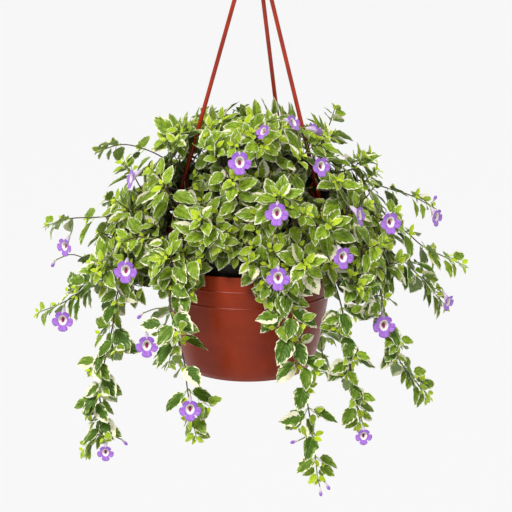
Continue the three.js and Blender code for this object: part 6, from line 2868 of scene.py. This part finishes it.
class Foliage:
    """Turns the plan of each leafy stem into one finished piece."""

    def __init__(self, planting: Planting, effects: Effects, recipes: Recipes) -> None:
        """Prepares the shapes and finishes that all stems share.

        Args:
            planting: the grown plant.
            effects: the shared shader groups.
            recipes: the geometry trees.
        """
        self.planting, self.recipes = planting, recipes
        self.leaf = LeafFinish().build(effects)
        self.stem = StemFinish().build(effects)
        self.sepal = TwoToneFinish("sepal_green", srgb(196, 204, 66), srgb(160, 190, 70), (0.2, 0.9))
        self.bud = TwoToneFinish("bud_violet", srgb(226, 214, 206), srgb(150, 96, 206), (0.3, 0.75))
        self.sepal_skin, self.bud_skin = self.sepal.build(effects), self.bud.build(effects)
        self.leaf_shapes = self.shelf("leaf_shapes", self.leaf_forms())
        self.sepal_shapes = self.shelf("sepal_shapes", [LeafShape(
            fold=0.5, curl=-0.12, width=0.11, stalk=0.0, stations=5, columns=(-1.0, 0.0, 1.0), teeth=0.0,
            wave=0.0, belly=0.0, thick=0.05).build("sepal_0")])
        self.bud_shapes = self.shelf("bud_shapes", [self.bud_form()])

    @staticmethod
    def leaf_forms() -> list:
        """Full leaves that bend in different ways, then young ones, then simpler deep ones.

        Returns:
            The hidden leaves.
        """
        bends = [(0.28, 0.10, 0.0, 0.010), (0.36, 0.16, 0.12, 0.014), (0.22, 0.07, -0.14, 0.018),
                 (0.42, 0.12, 0.2, 0.008), (0.26, 0.2, -0.1, 0.012), (0.18, 0.12, 0.06, 0.022)]
        full = [LeafShape(fold=fold, curl=curl, twist=twist, wave=wave, phase=1.7 * k).build(f"leaf_{k}")
                for k, (fold, curl, twist, wave) in enumerate(bends)]
        young = [LeafShape(fold=fold, curl=curl, wave=0.01, phase=k, stalk=0.1, stations=5, teeth=0.04,
                           columns=(-1.0, 0.0, 1.0), thick=0.02).build(f"leaf_{6 + k}")
                 for k, (fold, curl) in enumerate([(0.5, -0.05), (0.4, 0.15)])]
        deep = [LeafShape(fold=fold, curl=curl, wave=0.015, phase=k, stations=6, teeth=0.04,
                          columns=(-1.0, 0.0, 1.0)).build(f"leaf_{8 + k}")
                for k, (fold, curl) in enumerate([(0.3, 0.1), (0.2, 0.22)])]
        return full + young + deep

    def bud_form(self) -> bpy.types.Object:
        """A closed bud at unit length, thickest past its middle.

        Returns:
            The hidden bud.
        """
        rows = [(0.0, -0.5), (0.05, -0.46), (0.08, -0.3), (0.1, -0.05), (0.17, 0.18), (0.16, 0.34),
                (0.09, 0.45), (0.0, 0.5)]
        points, faces = turned_points(rows, 10)
        mesh = new_mesh("bud_0", points[:, [0, 2, 1]] * (1, 1, -1), faces)
        map_corners(mesh, "leaf", np.column_stack([np.full(len(points), 0.5), points[:, 2] + 0.5]))
        mesh.shade_smooth()
        return new_object("bud_0", mesh, False)

    @staticmethod
    def shelf(name: str, shapes: Sequence[bpy.types.Object]) -> bpy.types.Collection:
        """A collection that holds shapes to be placed.

        Args:
            name: its name.
            shapes: the shapes.

        Returns:
            The collection.
        """
        collection = bpy.data.collections.new(name)
        for shape in shapes:
            collection.objects.link(shape)
        return collection

    def rows_of(self, stem: LeafyStem) -> dict:
        """The points of a stem's plan with everything that each carries.

        Args:
            stem: the leafy stem.

        Returns:
            One list for each value, and the edges.
        """
        rows: dict = {key: [] for key in ("place", "kind", "facing", "normal", "size", "variant",
                                          "seed", "age", "thick", "shade")}
        rows["edges"] = []
        draw = Draws(9000 + stem.index)

        def put(place: Vec, kind: Kind, facing: Vec, normal: Vec, size: float, variant: int,
                age: float, thick: float, shade: float = 0.0) -> None:
            """Adds one point."""
            for key, value in zip(rows, (place, kind.value, facing, normal, size * MM, variant,
                                         draw(), age, thick * MM, shade)):
                rows[key].append(value)

        def line(path: Sequence[Vec], thick: float, thin: float, age: float, young_end: float) -> None:
            """Adds a line of wood that thins and grows younger towards its end."""
            curve = smooth(path, 5)
            first = len(rows["place"])
            for k, place in enumerate(curve):
                share = k / (len(curve) - 1)
                put(place, Kind.TWIG, vec(0, 1, 0), vec(0, 0, 1), 0, 0, blend(age, young_end, share ** 7),
                    blend(thick, thin, share))
            rows["edges"].extend((first + k, first + k + 1) for k in range(len(curve) - 1))

        for twig in stem.twigs:
            line(twig.path, twig.radius, twig.tip_radius, twig.age, 0.1)
        for stalk in stem.stalks:
            line(stalk, 0.8, 0.9, 0.35, 0.0)
        for twig in stem.twigs:
            for leaf in twig.leaves:
                variant = int(draw() * 6)
                if leaf.shade > 0.55:
                    variant = 8 + variant % 2
                elif leaf.size < 17:
                    variant = 6 + variant % 2
                # Painted shade: large leaves that hang below the dome's base get a higher age value, which
                # turns them a deeper green.
                low = 0.45 if leaf.root[2] < self.planting.dome.base else 0
                age = max((leaf.size - 9) / 30 + 0.3 * (draw() - 0.5), 0) + (low if leaf.size > 25 else 0)
                put(leaf.root, Kind.LEAF, leaf.facing, leaf.normal, leaf.size, variant, age, 0, leaf.shade)
        for bloom in stem.calyxes:
            for k in range(5):
                turn = rad(72 * k + 20)
                spoke = bloom.side * math.cos(turn) + np.cross(bloom.along, bloom.side) * math.sin(turn)
                root = bloom.heel - bloom.along * 1.6 + spoke * 0.6
                way = unit(bloom.along + spoke * 0.42)
                put(root, Kind.SEPAL, way, spoke * -1.0, 9.5 * bloom.scale, 0, 0.3, 0)
        for centre, facing in stem.buds:
            side = unit(np.cross(facing, vec(0, 0.2, 1)))
            put(centre, Kind.BUD, facing, side, self.planting.plan.bud_length, 0, 0.3, 0)
            for k in range(5):
                turn = rad(72 * k)
                spoke = side * math.cos(turn) + np.cross(facing, side) * math.sin(turn)
                way = unit(facing + spoke * 0.3)
                put(centre - facing * 6.8, Kind.SEPAL, way, spoke * -1.0, 7.0, 0, 0.3, 0)
        return rows

    def build(self) -> None:
        """Makes and dresses every leafy stem."""
        kinds = {"kind": "INT", "variant": "INT", "facing": "FLOAT_VECTOR", "normal": "FLOAT_VECTOR",
                 "size": "FLOAT", "seed": "FLOAT", "age": "FLOAT", "thick": "FLOAT", "shade": "FLOAT"}
        for stem in self.planting.stems:
            rows = self.rows_of(stem)
            name = f"leafy_{stem.name}"
            mesh = new_mesh(name, placed(np.array(rows["place"])), [], rows["edges"])
            for key, kind in kinds.items():
                carry(mesh, key, kind, rows[key])
            piece = new_object(name, mesh)
            run_tree(piece, self.recipes.leafy, {
                "Stem sides": 7, "Stem scale": 1.0, "Leaf scale": 1.0, "Stem finish": self.stem,
                "Leaf shapes": self.leaf_shapes, "Leaf finish": self.leaf,
                "Sepal shapes": self.sepal_shapes, "Sepal finish": self.sepal_skin,
                "Bud shapes": self.bud_shapes, "Bud finish": self.bud_skin})
            for key in ("kind", "variant", "facing", "normal", "size", "thick"):
                layer = piece.data.attributes.get(key)
                if layer:
                    piece.data.attributes.remove(layer)
            dress(piece, "foliage", f"stem_{stem.name}")
        for shelf in (self.leaf_shapes, self.sepal_shapes, self.bud_shapes):
            for shape in list(shelf.objects):
                bpy.data.objects.remove(shape)
            bpy.data.collections.remove(shelf)


@dataclass
class Studio:
    """Pale floor, soft lights and the camera at the photograph's angle."""

    distance: float = 2580.0
    fall: float = 12.9
    aim: tuple = (12.0, 0.0, 169.7)
    lens: float = 120.45
    floor_drop: float = -1100.0
    floor_size: float = 30.0
    surround: float = 0.42
    suns: tuple = (("key", (-0.42, -0.6, 0.85), 22.0, 2.62), ("fill", (0.7, -0.8, 0.5), 60.0, 0.5))

    def build(self, effects: Effects) -> None:
        """Sets up floor, lights and camera.

        Args:
            effects: the shared shader groups.
        """
        half = self.floor_size
        z = placed(vec(0, 0, self.floor_drop))[0][2]
        corners = np.array([(-half, -half, z), (half, -half, z), (half, half, z), (-half, half, z)])
        floor = new_object("floor", new_mesh("floor", corners, [(0, 1, 2, 3)]))
        floor.data.materials.append(FloorFinish().build(effects))
        self.lights()
        self.camera()

    def lights(self) -> None:
        """A dim even surround, with a wide soft key from the upper left and a weaker fill."""
        world = bpy.data.worlds.new("studio")
        world.use_nodes = True
        world.node_tree.nodes["Background"].inputs["Color"].default_value = (1, 1, 1, 1)
        world.node_tree.nodes["Background"].inputs["Strength"].default_value = self.surround
        bpy.context.scene.world = world
        for name, way, wide, power in self.suns:
            data = bpy.data.lights.new(name, "SUN")
            data.angle, data.energy = rad(wide), power
            light = bpy.data.objects.new(name, data)
            light.rotation_euler = Vector(way).to_track_quat("Z", "Y").to_euler()
            bpy.context.scene.collection.objects.link(light)

    def camera(self) -> None:
        """Sets the camera."""
        data = bpy.data.cameras.new("camera")
        data.lens = self.lens
        data.sensor_width = 36.0
        data.clip_end = 200.0
        camera = bpy.data.objects.new("camera", data)
        back, up = math.cos(rad(self.fall)), math.sin(rad(self.fall))
        camera.location = placed(vec(*self.aim) + vec(0, -self.distance * back, self.distance * up))[0]
        camera.rotation_euler = (rad(90 - self.fall), 0, 0)
        bpy.context.scene.collection.objects.link(camera)
        bpy.context.scene.camera = camera
        bpy.context.scene.view_settings.view_transform = "Standard"


def main() -> None:
    """Builds the studio and every piece of the pot, its hanger and its plant."""
    logging.basicConfig(level=logging.INFO, format="%(name)s %(message)s")
    pot, hanger = PotPlan(), HangerPlan()
    effects, recipes = Effects(), Recipes()
    Studio().build(effects)
    PotBody(pot, hanger).build(effects)
    LinerBody(pot).build(effects)
    SoilBed(pot).build(effects, recipes)
    Hanger(hanger).build(effects, recipes)
    plant = PlantPlan()
    planting = Planting(plant, FinePlan(), pot, hanger, Dome())
    log.info("%d leaves", sum(len(twig.leaves) for stem in planting.stems for twig in stem.twigs))
    Foliage(planting, effects, recipes).build()
    petals = PetalFinish().build(effects)
    for index, bloom in enumerate(planting.blooms):
        Corolla(plant).build(bloom, index, petals)


if __name__ == "__main__":
    main()
